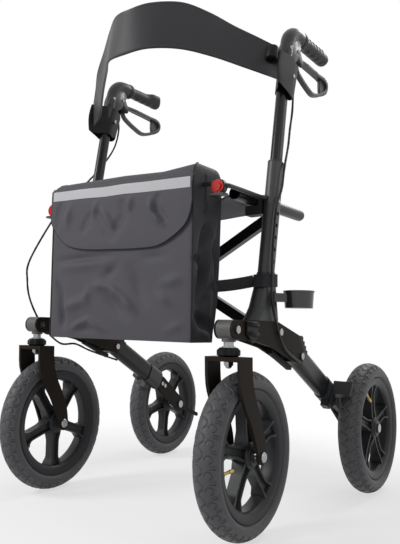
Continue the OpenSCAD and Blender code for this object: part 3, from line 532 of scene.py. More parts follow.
class Paint:
    """The finishes of the walker."""

    FRAME = Finish("frame_black", "#1a1b1d", 0.26, scale=2600.0, bump=0.06, specular=0.22)
    PLATE = Finish("plate_brown", "#302b27", 0.4, scale=2600.0, bump=0.1, specular=0.03)
    PLASTIC = Finish("frame_plastic", "#333436", 0.38, scale=1800.0, bump=0.15, specular=0.3)
    DARK = Finish("dark_plastic", "#151617", 0.45, scale=1800.0, bump=0.2, specular=0.16)
    SLIDE = Finish("slide_black", "#151617", 0.26, Texture.BRUSHED, 900.0, 0.06, specular=0.28)
    HEAD = Finish("head_grey", "#343434", 0.32, scale=1500.0, bump=0.04, metallic=0.3, specular=0.4)
    LEVER = Finish("lever_grey", "#434347", 0.4, scale=1800.0, bump=0.12, specular=0.3)
    GRIP = Finish("grip_black", "#2b2b2d", 0.5, scale=2200.0, bump=0.25, specular=0.3)
    TYRE = Finish("tyre_grey", "#565558", 0.5, scale=1100.0, bump=0.25, vary=0.2, specular=0.35)
    RIM = Finish("rim_grey", "#2e2f31", 0.4, scale=1700.0, bump=0.15, specular=0.22)
    STEEL = Finish("steel", "#9b9c9e", 0.26, Texture.BRUSHED, 1500.0, 0.1, metallic=1.0)
    LENS = Finish("red_lens", "#c4170c", 0.3, scale=420.0, bump=0.35, depth=0.001, specular=0.2)
    CABLE = Finish("cable_black", "#161617", 0.42, scale=2400.0, bump=0.1, specular=0.3)
    BAG = Finish("bag_fabric", "#57555a", 0.62, Texture.WEAVE, 1100.0, 0.16, 0.0003, 0.1, specular=0.2)
    # Lighter than the cloth itself: painted light that lifts the shaded underside of the seat.
    SEAT = Finish("seat_fabric", "#7c7c80", 0.72, Texture.WEAVE, 700.0, 0.3, 0.0005, 0.12, specular=0.15)
    BAND = Finish("band_fabric", "#333134", 0.48, Texture.WEAVE, 1400.0, 0.14, 0.0003, 0.1, specular=0.35)
    CUP = Finish("cup_plastic", "#343537", 0.26, scale=1800.0, bump=0.06, specular=0.6)
    # Darker copy of the bag fabric for the gussets: painted shade on the sides that the key lamp misses; the
    # cloth is the same as the front's.
    SHADED_BAG = replace(BAG, colour="#323135", rough=0.5)
    PIPING = Finish("bag_fabric", "#2c2b2f", 0.6, Texture.NET, 900.0, 0.3, 0.0005, specular=0.2)
    WEBBING = Finish("bag_fabric", "#353437", 0.7, Texture.NET, 620.0, 0.5, 0.0008, specular=0.2)
    STRIPE = Finish("bag_fabric", "#c6c5c9", 0.5, Texture.WEAVE, 900.0, 0.2, 0.0004, 0.06, specular=0.4)
    HOUSING = Finish("dark_plastic", "#666564", 0.42, Texture.GRAIN, 900.0, 0.5, 0.0006, 0.3, specular=0.25)
    BRASS = replace(STEEL, colour="#b39a5c", rough=0.3)
    CUFF = replace(BAND, colour="#2c2a2d", rough=0.6, specular=0.2)
    # Lighter copy of the frame paint for the post tubes: painted highlight on their fronts; the higher
    # roughness is their satin finish.
    POST_LIT = replace(FRAME, colour="#38393b", rough=0.4, specular=0.45)
    RUBBER = Finish("tyre_grey", "#1a1a1b", 0.6, scale=1500.0, bump=0.2, specular=0.25)

    @classmethod
    def of_slot(cls, slot: str) -> Finish:
        """The first finish that belongs to a slot of the record."""
        return next(f for f in vars(cls).values() if isinstance(f, Finish) and f.slot == slot)


class Solid:
    """A mesh object gathered from patches."""

    def __init__(self, name: str) -> None:
        """Starts an empty object of that name."""
        self.name = name
        self.patches: list[Patch] = []

    def add(
        self, points: Array, wrap_rows: bool = False, wrap_cols: bool = True, slot: int | Array = 0
    ) -> Solid:
        """Adds one grid.

        Args:
            points: Grid of points in millimetres.
            wrap_rows: Whether the last row joins the first.
            wrap_cols: Whether the last column joins the first.
            slot: Which of the object's finishes it has, or one number for each face.

        Returns:
            This object, so that calls can be chained.
        """
        self.patches.append(Patch(np.asarray(points, float), wrap_rows, wrap_cols, slot))
        return self

    def turned(self, profile: Sequence[Point], *where: Point, count: int = 48, slot: int = 0) -> Solid:
        """Adds a profile turned from pole to pole.

        Args:
            profile: Points (along the axis, radius), from 0 to 0 in radius.
            where: Centre, axis and first radius, as for Form.turn.
            count: Points on each circle.
            slot: Which of the object's finishes it has.

        Returns:
            This object, so that calls can be chained.
        """
        return self.add(Form.turn(profile, *where, count=count), wrap_rows=True, wrap_cols=False, slot=slot)

    def build(self, *finishes: Finish, sharp: float = 40.0) -> Object:
        """Makes the mesh: joins the patches, closes their poles and turns the faces outwards.

        Args:
            finishes: The finishes, in the order of the patches' slots.
            sharp: Angle in degrees above which an edge stays sharp.

        Returns:
            The new object, at the origin.
        """
        counts = [p.points.shape[0] * p.points.shape[1] for p in self.patches]
        first = np.cumsum([0] + counts[:-1])
        verts = np.concatenate([p.points.reshape(-1, 3) for p in self.patches]) * MM
        faces = np.concatenate([p.faces() + k for p, k in zip(self.patches, first)])
        uvs = np.concatenate([p.uvs().reshape(-1, 2) for p in self.patches])
        slots = np.concatenate([np.broadcast_to(p.slot, len(p.faces())) for p in self.patches])
        mesh = bpy.data.meshes.new(self.name)
        mesh.from_pydata(verts.tolist(), [], faces.tolist())
        mesh.uv_layers.new(name="UVMap").data.foreach_set("uv", uvs.astype(np.float32).ravel())
        mesh.polygons.foreach_set("material_index", slots.astype(np.int32))
        shape = bmesh.new()
        shape.from_mesh(mesh)
        bmesh.ops.remove_doubles(shape, verts=shape.verts, dist=WELD)
        bmesh.ops.recalc_face_normals(shape, faces=shape.faces)
        shape.to_mesh(mesh)
        shape.free()
        mesh.shade_smooth()
        mesh.set_sharp_from_angle(angle=math.radians(sharp))
        made = bpy.data.objects.new(self.name, mesh)
        bpy.context.scene.collection.objects.link(made)
        for finish in finishes:
            mesh.materials.append(finish.material())
        LOG.info("%s: %d faces", self.name, len(mesh.polygons))
        return made


def attach(piece: Object, body: str, *nodes: str) -> None:
    """Lets a piece ride on a body, in place of CAD nodes.

    Args:
        piece: The piece.
        body: Body that carries it.
        nodes: CAD nodes that it stands for.
    """
    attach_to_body(piece, body)
    if nodes:
        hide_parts(*nodes)


def bump(x: Array, middle: float, width: float) -> Array:
    """Bell curve of height 1 at the middle, about twice as wide as width."""
    return np.exp(-(((x - middle) / width) ** 2))


def ease(x: Array, low: float, high: float) -> Array:
    """Smooth step from 0 at low to 1 at high."""
    t = np.clip((x - low) / (high - low), 0, 1)
    return t * t * (3 - 2 * t)


def crease(x: Array, z: Array, a: Point, b: Point, width: float) -> Array:
    """Soft ridge of height 1 along the line from a to b, fading out past its ends.

    Args:
        x: First coordinate of each point.
        z: Second coordinate of each point.
        a: Start of the ridge.
        b: End of the ridge.
        width: Width of its bell-shaped section.

    Returns:
        Height of the ridge at each point.
    """
    dx, dz = b[0] - a[0], b[1] - a[1]
    t = np.clip(((x - a[0]) * dx + (z - a[1]) * dz) / (dx * dx + dz * dz), 0, 1)
    gap = np.hypot(x - a[0] - t * dx, z - a[1] - t * dz)
    return bump(gap, 0, width) * (0.35 + 0.65 * np.sin(np.pi * np.clip(t, 0.02, 0.98)))


@dataclass(frozen=True)
class Studio:
    """Camera, floor, lights and the white surroundings."""

    frame: tuple[int, int] = (400, 544)
    focal: float = 616.21
    axis_px: tuple[float, float] = (119.64, 263.51)
    eye: Point = (0.8111, -1.2766, 0.3765)
    ahead: Point = (-0.64448, 0.75810, 0.09972)
    right: Point = (0.76324, 0.64568, 0.02405)
    ambient: float = 0.25
    aim: Point = (0, -0.05, 0.5)

    def camera(self) -> None:
        """Places the camera of the photograph: its shift brings the optical axis to its pixel."""
        lens = bpy.data.cameras.new("camera")
        lens.sensor_width = 36.0
        side = max(self.frame)
        lens.lens = self.focal / side * lens.sensor_width
        lens.shift_x = (self.frame[0] / 2 - self.axis_px[0]) / side
        lens.shift_y = (self.axis_px[1] - self.frame[1] / 2) / side
        back, right = -Vector(self.ahead), Vector(self.right)
        up = back.cross(right)
        made = bpy.data.objects.new("camera", lens)
        made.matrix_world = Matrix.Translation(self.eye) @ Matrix((right, up, back)).transposed().to_4x4()
        bpy.context.scene.collection.objects.link(made)
        bpy.context.scene.camera = made

    @staticmethod
    def seen(graph: Graph) -> Socket:
        """1 for rays that show the background: from the camera, reflected or let through.

        Args:
            graph: Nodes of the material or world.

        Returns:
            Socket with 1 or 0.
        """
        path = graph.add("LightPath").outputs
        total = path["Is Camera Ray"]
        for kind in ("Is Glossy Ray", "Is Transmission Ray"):
            total = graph.math("MAXIMUM", total, path[kind])
        return total

    def world(self) -> None:
        """White to the eye and in reflections, softer as a source of light."""
        made = bpy.data.worlds.new("surroundings")
        made.use_nodes = True
        graph = Graph(made.node_tree)
        level = graph.add("MapRange", {"To Min": self.ambient, "To Max": 1.0, "Value": self.seen(graph)})
        sky = {"Color": (1, 1, 1, 1), "Strength": level.outputs["Result"]}
        graph.fill(graph.nodes["Background"], sky)
        bpy.context.scene.world = made
        bpy.context.scene.view_settings.view_transform = "Standard"

    def floor(self) -> None:
        """Pale disc that takes the shadow near the wheels and fades to white further out."""
        a = np.linspace(0, 2 * np.pi, 64, endpoint=False)
        r = np.array([0.001, 700, 1500, 6000])[:, None, None]
        ring = np.stack([np.cos(a), np.sin(a), 0 * a], 1)
        disc = Solid("floor").add(r * ring - (0, 0, 0.5)).build(Paint.STRIPE)
        paint = bpy.data.materials.new("floor_white")
        paint.use_nodes = True
        graph = Graph(paint.node_tree)
        pale = {"Base Color": (0.9, 0.9, 0.9, 1), "Roughness": 0.9, "Specular IOR Level": 0.1}
        base = graph.fill(graph.nodes["Principled BSDF"], pale)
        place = graph.add("TexCoord").outputs["Object"]
        reach = graph.add("VectorMath", {0: place}, operation="LENGTH").outputs["Value"]
        span = {"From Min": 0.35, "From Max": 1.1, "To Min": 0.62, "Value": reach}
        fade = graph.add("MapRange", span, interpolation_type="SMOOTHSTEP")
        share = graph.math("MULTIPLY", fade.outputs["Result"], self.seen(graph))
        glow = graph.add("Emission")
        mix = graph.add("MixShader", {0: share, 1: base.outputs[0], 2: glow.outputs[0]})
        graph.fill(graph.nodes["Material Output"], {"Surface": mix.outputs[0]})
        disc.data.materials[0] = paint

    def lamp(self, name: str, place: Point, size: float, power: float) -> None:
        """Soft square lamp aimed at the middle of the walker.

        Args:
            name: Name of the lamp.
            place: Where it stands, in metres.
            size: Side of its square, in metres.
            power: Its power, in watts.
        """
        light = bpy.data.lights.new(name, "AREA")
        light.size, light.energy = size, power
        made = bpy.data.objects.new(name, light)
        made.location = place
        made.rotation_euler = (Vector(self.aim) - Vector(place)).to_track_quat("-Z", "Y").to_euler()
        bpy.context.scene.collection.objects.link(made)

    def build(self) -> None:
        """Sets up all of it."""
        self.camera()
        self.world()
        self.floor()
        self.lamp("key", (-1.5, -2.3, 2.0), 0.9, 46)
        self.lamp("side", (2.4, -0.3, 1.5), 0.4, 3.4)
        self.lamp("back", (0.4, 2.0, 2.3), 0.9, 20)


@dataclass(frozen=True)
class Cable:
    """A brake cable from under a handle to the rear leg."""

    side: Side
    route: Sequence[Point]
    radius: float = 2.5
    rib: float = 4.0
    ferrule: float = 14.0

    def build(self) -> None:
        """Finely ribbed tube along the smooth line of the route, with a plain ferrule at each end."""
        line = Line.smooth(self.route, 14)
        run = Line.run(line)
        ends = np.minimum(run, run[-1] - run)
        size = self.radius * (0.94 + 0.06 * np.cos(run * 2 * np.pi / self.rib))
        size = np.where(ends < self.ferrule, self.radius, size)
        outline = size[:, None, None] * Line.oval(1, 1, count=12)
        made = Solid(self.side.of("cable")).add(Form.rod(line, outline, (1, 0, 0))).build(Paint.CABLE)
        self.side.of("handle")
        self.side.of("frame")
        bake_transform(made)
        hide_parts(self.side.of("brake_cable"))


@dataclass(frozen=True)
class Wheel:
    """One air wheel: tyre with curled tread, and a deep rim with five channelled spokes."""

    name: str
    centre: Point
    phase: float
    valve: float
    radius: float = WHEEL_R
    rim: float = 112.6
    around: int = 900
    curls: int = 36
    spokes: int = 5

    def profile(self) -> Array:
        """Section of the tyre from one bead over the crown to the other."""
        x = [0, 6, 12, 17.5, 21.8, 24.3, 25, 24.4, 22.4, 19.2, 17.3, 16.9]
        r = [150, 149.3, 147, 143.3, 138, 132.5, 127.5, 123.6, 120.6, 118.6, 117.2, self.rim]
        half = Line.smooth(np.stack([x, r], 1), 3)
        return np.vstack([half[::-1] * (-1, 1), half[1:]])

    def tread(self, turn: Array, across: Array) -> Array:
        """Depth of the grooves: a wave on the crown, curls beside it, slots on the shoulders, then rings.

        Args:
            turn: Place along the tread in repeats.
            across: Distance from the crown along the section.

        Returns:
            Depth in millimetres.
        """
        pitch = 2 * np.pi * self.radius / self.curls
        wide = np.abs(across)
        shift = (turn + np.where(across > 0, 0, 0.5)) % 1 - 0.5
        b = shift * pitch
        wave = np.abs(across - 5 * np.sin(2 * np.pi * turn)) - 1.2
        reach = np.hypot(b, wide - 15)
        curl = np.abs(reach - 6.4) - 1.1 + 4 * ((b > 1) & (wide < 15))
        slot = np.maximum(np.abs(np.abs(b) - pitch / 2 + 2.5) - 1.2, np.abs(wide - 23) - 6)
        ring = np.abs(wide - 31.5) - 0.9
        gap = np.minimum.reduce([wave, curl, slot])
        deep = 2.0 * (1 - ease(gap, -0.5, 0.7)) * (1 - ease(wide, 28, 31))
        low = 1.1 * (1 - ease(ring, -0.4, 0.6)) + 0.5 * bump(wide, 37, 0.9) + 0.5 * bump(wide, 42, 0.9)
        return deep + low

    def tyre(self) -> None:
        """Turns the section and sinks the tread into it along its normals."""
        section = self.profile()
        along = np.gradient(section, axis=0)
        normal = Line.unit(np.stack([-along[:, 1], along[:, 0]], 1))
        run = Line.run(section)
        across = run - run[-1] / 2
        angle = np.linspace(0, 2 * np.pi, self.around, endpoint=False)[:, None]
        depth = self.tread(angle * self.curls / (2 * np.pi), across[None])
        x, r = (section[:, k] - depth * normal[:, k] for k in range(2))
        grid = np.stack([x, r * np.cos(angle), r * np.sin(angle)], 2) + np.asarray(self.centre)
        made = Solid(f"{self.name}_tyre_skin").add(grid, wrap_rows=True).build(Paint.TYRE, sharp=60)
        attach(made, f"{self.name}_wheel", f"{self.name}_tyre")

    def ring(self) -> Array:
        """Closed section of the rim: barrel, flanges outside the beads, and tyre bed."""
        inner = [(0, 96.5), (9, 96.5), (13.5, 97.6), (16.6, 101), (18.4, 106.5), (19.4, 112), (19.8, 115.4)]
        bed = [(19.2, 116.6), (18.2, 116.6), (17.6, 115.4), (17.5, 112), (15, 110.8), (9, 109.6), (0, 109.2)]
        return Line.mirrored(inner + bed)

    def spoke(self, angle: float) -> Array:
        """Channelled spoke: an H outline along the radius that flares at the hub and the rim.

        Args:
            angle: Direction of the spoke in degrees, from +Y towards +Z.

        Returns:
            Grid of points.
        """
        w = np.array([-1, -0.66, -0.5, 0.5, 0.66, 1, 1, 1, 0.66, 0.5, -0.5, -0.66, -1, -1])
        x = np.array([-1, -1, -0.5, -0.5, -1, -1, 0, 1, 1, 0.5, 0.5, 1, 1, 0])
        out = np.linspace(17, 99.5, 25)
        half_w = 10.5 + 3.5 * (1 - ease(out, 20, 46)) + 7 * ease(out, 78, 99)
        half_x = 10.5 + 2.5 * (1 - ease(out, 20, 46)) + 4.5 * ease(out, 74, 99)
        radial, tangent = self.radial(angle), self.radial(angle + 90)
        grid = out[:, None, None] * radial + (half_w[:, None] * w)[..., None] * tangent
        return grid + (half_x[:, None] * x)[..., None] * np.array([1.0, 0, 0]) + np.asarray(self.centre)

    def hub(self) -> Array:
        """Closed section of the hub, stepped towards its bearings."""
        half = [(0, 24), (14, 24), (15.5, 22.5), (17, 19), (19.5, 18), (20, 16.5), (20, 13), (22, 12.2)]
        return Line.mirrored([*half, (22, 6.6), (0, 6.6)])

    @staticmethod
    def radial(angle: float) -> Array:
        """Direction of a radius, in degrees from +Y towards +Z."""
        return np.array([0, math.cos(math.radians(angle)), math.sin(math.radians(angle))])

    def rim_piece(self) -> None:
        """Joins barrel, hub, spokes and valve."""
        made = Solid(f"{self.name}_rim_cast")
        made.add(Form.turn(self.ring(), self.centre, count=160), wrap_rows=True)
        made.add(Form.turn(self.hub(), self.centre, count=64), wrap_rows=True)
        for k in range(self.spokes):
            made.add(Form.closed_ends(self.spoke(self.phase + 360 / self.spokes * k)))
        body = [(0, 0), (0, 4.6), (2, 4.4), (4, 2.8), (13, 2.7), (13.4, 2.4), (15, 2.4), (15, 0)]
        cap = [(14.6, 0), (14.6, 3.0), (15.4, 3.4), (23, 3.2), (24.4, 2.2), (24.4, 0)]
        out, radial = np.array([np.sign(self.centre[0]), 0, 0]), self.radial(self.valve)
        foot = np.asarray(self.centre) + 97 * radial + 11 * out
        for profile in (body, cap):
            made.turned(profile, foot, 0.3 * out - radial, (1, 0, 0), count=16, slot=1)
        attach(made.build(Paint.RIM, Paint.BRASS), f"{self.name}_wheel", f"{self.name}_rim")

    def build(self) -> None:
        """Makes the tyre and the rim."""
        self.tyre()
        self.rim_piece()


@dataclass(frozen=True)
class Handle:
    """Head, grip, loop lever, screws and the cuff of the back band on one handle."""

    side: Side
    grip_z: float = 1021.0
    finger_pitch: float = 25.0
    fin_pitch: float = 17.0
    fins: int = 5
    loop: Sequence[Point] = (
        (-25, 971), (-5, 973), (36, 972.5), (82, 971), (110, 969.5), (125, 963), (128, 952), (119, 941),
        (91, 927), (54, 917), (20, 924), (-10, 934.5), (-27, 944), (-31.5, 958),
    )

    def grip(self) -> None:
        """Rubber grip: oval sections along Y, with finger hollows, fins on the outer top and a palm rest."""
        y = np.array([-17, -16, -13, -6, -3, 2, 10, 40, 70, 93, 107, 115, 120, 122])
        wide = np.array([14, 18.4, 19.4, 19.4, 18.2, 15.2, 14.6, 14.8, 15, 15, 15.2, 15, 13.8, 9.5])
        top = np.array([14, 18.4, 19.4, 19.4, 18.2, 15.4, 15, 15.8, 16.4, 17, 17.6, 17.8, 16.4, 11])
        low = np.array([14, 18.4, 19.4, 19.4, 18.2, 15.2, 14.4, 14.6, 14.6, 14.6, 14.6, 14.4, 13.2, 9])
        key = Line.smooth(np.stack([y, wide, top, low], 1), 16)
        at, a = key[:, :1], np.linspace(0, 2 * np.pi, 56, endpoint=False)[None]
        c, s = np.cos(a), np.sin(a)
        half = np.where(s > 0, key[:, 2:3], key[:, 3:4])
        finger = 1.3 * (0.5 + 0.5 * np.cos((at - 18) * 2 * np.pi / self.finger_pitch))
        finger = finger * ease(at, 2, 10) * (1 - ease(at, 96, 106))
        fins = sum(bump(at, 22 + self.fin_pitch * k, 3.2) for k in range(self.fins))
        palm = ease(at, 58, 92) * (1 - ease(at, 112, 124)) * bump(a, math.radians(138), 0.6)
        proud = 2.4 * fins * bump(a, math.radians(48), 0.55) + 8.5 * palm
        x = (key[:, 1:2] + proud) * c
        z = (half + proud - finger * (s < 0) * s * s) * s
        grid = np.stack([POST_X + x, at + 0 * a, self.grip_z + z], 2)
        made = Solid(self.side.of("grip_rubber")).add(Form.closed_ends(self.side.place(grid)))
        attach(made.build(Paint.GRIP), self.side.of("handle"), self.side.of("grip"))

    def lever(self) -> None:
        """Loop lever: a ribbed bar round a closed line, with a sunk pad at its wide end."""
        flat = Line.even(Line.smooth(self.loop, 16, closed=True), 180, closed=True)
        line = Line.at_x(POST_X, flat)
        tip = ease(flat[:, 0], 84, 122)
        upper = ease(flat[:, 1], 948, 966) * ease(flat[:, 0], -12, 24)
        box = Line.box(1, 1, 0.35, 6)
        rib = 1 - 0.16 * (0.5 + 0.5 * np.cos(box[:, 1] * 3 * np.pi)) * (np.abs(box[:, 1]) < 0.8)
        side = (4.4 + 1.6 * tip)[:, None] * box[:, 0] * rib
        hollow = 1.8 * tip[:, None] * (1 - box[:, 1] ** 2) * np.sign(box[:, 0])
        lift = (5.4 + 2.4 * upper + 1.4 * tip)[:, None] * box[:, 1]
        grid = Form.sweep(line, np.stack([side - hollow, lift], 2), (1, 0, 0), closed=True)
        pad = [(98, 969), (122, 963), (126, 952), (116, 941), (98, 932), (94, 950)]
        plate = Form.slab(Line.smooth(pad, 6, closed=True), 246.6, 253.4, 1.0)
        made = Solid(self.side.of("lever_cast")).add(self.side.place(grid), wrap_rows=True)
        made.add(self.side.place(plate))
        attach(made.build(Paint.LEVER), self.side.of("lever"), self.side.of("brake_lever"))

    def cuff(self) -> None:
        """Cuff of the band: a sleeve round the handle that runs out into a fold at its outer front."""
        drop = [(266, -142), (268, -112), (268.5, -80), (264, -62), (250, -54), (239, -61)]
        drop += [(234.6, -78), (235, -94), (243, -109), (254, -126), (262, -142)]
        outer = Line.even(Line.smooth(drop, 10, closed=True), 120, closed=True)
        along = Line.unit(np.roll(outer, -1, 0) - np.roll(outer, 1, 0))
        inner = outer + np.stack([-along[:, 1], along[:, 0]], 1) * 1.8
        rear = ease(outer[:, 1], -140, -70)
        top = np.interp(outer[:, 1], [-142, -104, -84, -66, -58], [950, 952, 946, 936, 928])
        low = np.interp(outer[:, 1], [-142, -100, -75, -58], [879, 868, 861, 866])
        low = low + 8 * (1 - ease(outer[:, 0], 236, 254))
        v = np.linspace(0, 1, 15)
        z = low[:, None] + (top - low)[:, None] * v
        lean = (0.12 + 0.2 * rear)[:, None] * (z - 905) - 6 * ((1 - rear) ** 2)[:, None] * np.sin(np.pi * v)

        def wall(loop: Array) -> Array:
            """One face of the cuff over an outline."""
            return np.stack([loop[:, :1] + 0 * z, loop[:, 1:] + lean, z], 2)

        grid = np.concatenate([wall(outer), wall(inner)[:, ::-1]], 1)
        made = Solid(self.side.of("band_cuff")).add(self.side.place(grid), wrap_rows=True)
        attach(made.build(Paint.CUFF), self.side.of("handle"))

    def head(self) -> None:
        """Cast head: a bent tube that widens to the grip, a web under its bend and two lever cheeks."""
        key = [(-91, 918, 17, 13.5), (-83.5, 955, 17, 13.5), (-76, 984, 17, 14), (-67, 1004, 17, 15.5)]
        key += [(-51, 1017, 17.5, 17), (-33, 1021, 18, 18), (-12, 1021, 18.2, 18.2)]
        rows = Line.smooth(key, 10)
        outlines = rows[:, None, 2:] * Line.oval(1, 1, count=48)
        tube = Form.rod(Line.at_x(POST_X, rows[:, :2]), outlines, (1, 0, 0))
        web = [(-96, 950), (-78, 944), (-60, 950), (-46, 960), (-38, 975), (-31, 985), (-29, 997)]
        web += [(-36, 1012), (-62, 1008), (-84, 992), (-96, 970)]
        cheek = [(-52, 990), (-34, 986), (-26, 976), (-20, 967), (-20, 957), (-28, 951), (-40, 954)]
        made = Solid(self.side.of("head_cast")).add(self.side.place(tube))
        made.add(self.side.place(Form.slab(Line.smooth(web, 6, closed=True), 236.8, 263.2, 4)))
        for x in (238, 258):
            plate = Form.slab(Line.smooth([*cheek, (-56, 962)], 6, closed=True), x, x + 4)
            made.add(self.side.place(plate), slot=1)
        piece = made.build(Paint.HEAD, Paint.DARK, sharp=60)
        attach(piece, self.side.of("handle"), self.side.of("handle_head"))

    def screws(self) -> None:
        """Domed screws on both faces of the head and of the cuff."""
        dome = [(-1.5, 0), (-1.5, 4.4), (0.6, 4.4), (1.6, 3.6), (2.0, 2.2), (1.2, 1.8), (1.2, 0)]
        made = Solid(self.side.of("handle_screws"))
        for y, z, out in ((-83, 976, 13.6), (-44, 981.5, 13.0), (-81, 911.5, 18.2)):
            for face in (1, -1):
                spot = self.side.place((POST_X + face * out, y, z))
                made.turned(dome, spot, (face * self.side.value, 0, 0), count=20)
        attach(made.build(Paint.STEEL), self.side.of("handle"))

    def build(self) -> None:
        """Makes all pieces of the handle."""
        self.grip()
        self.lever()
        self.cuff()
        self.head()
        self.screws()


@dataclass(frozen=True)
class Band:
    """Back band that bows forward between the handles."""

    low: Sequence[Point] = (
        (0, -326, 943), (54, -312.5, 947), (102, -265.5, 950), (152, -219, 936.5), (197.5, -174.5, 918),
        (232, -143, 903), (259, -136, 888),
    )
    high: Sequence[Point] = (
        (0, -313.5, 1050), (46, -298, 1057), (99.5, -256.5, 1058), (147, -223, 1034), (191, -197, 1001.5),
        (227, -163.5, 979.5), (260, -134, 958),
    )
    thick: float = 2.4

    @staticmethod
    def edge(half: Sequence[Point]) -> Array:
        """Smooth line from the right handle to the left one through points of its left half."""
        p = np.asarray(half, float)
        return Line.even(Line.smooth(np.vstack([p[:0:-1] * (-1, 1, 1), p]), 16), 180)

    def strip(self) -> None:
        """Padded strip between its two edges, with a binding along both of them."""
        low, high = self.edge(self.low), self.edge(self.high)
        up = high - low
        ahead = np.gradient(low + high, axis=0)
        out = Line.unit(np.cross(ahead, up))
        tall = np.linalg.norm(up, axis=1)[:, None]
        rise = np.concatenate([np.linspace(0, 1, 33), np.linspace(1, 0, 33)])
        face = np.concatenate([np.ones(33), -np.ones(33)])
        to_edge = tall * (0.5 - np.abs(rise - 0.5))
        pad = self.thick * (0.75 + 0.25 * np.clip(1 - (1 - 2 * to_edge / tall) ** 2, 0, 1))
        bound = 0.9 * (1 - ease(to_edge, 5.0, 6.5))
        body = face * (pad + bound) * np.sqrt(np.clip(to_edge / 2.0, 0, 1))
        grid = low[:, None] + up[:, None] * rise[:, None] + out[:, None] * body[..., None]
        made = Solid("back_band").add(Form.closed_ends(grid)).build(Paint.BAND, sharp=50)
        attach(made, "left_handle", "backrest_band")
        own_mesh(made)

    def knob(self) -> None:
        """Short moulded barrel with a hollow end, on the band beside the left handle."""
        wall = [(-15, 0), (-15, 11), (-13.5, 12.6), (13.5, 13), (15, 12), (15, 8.8), (8, 8), (8, 0)]
        made = Solid("band_barrel").turned(wall, (252, -151, 941), (0.05, -0.34, -0.94), count=40)
        attach(made.build(Paint.DARK), "left_handle")

    def build(self) -> None:
        """Makes the band and its barrel."""
        self.strip()
        self.knob()


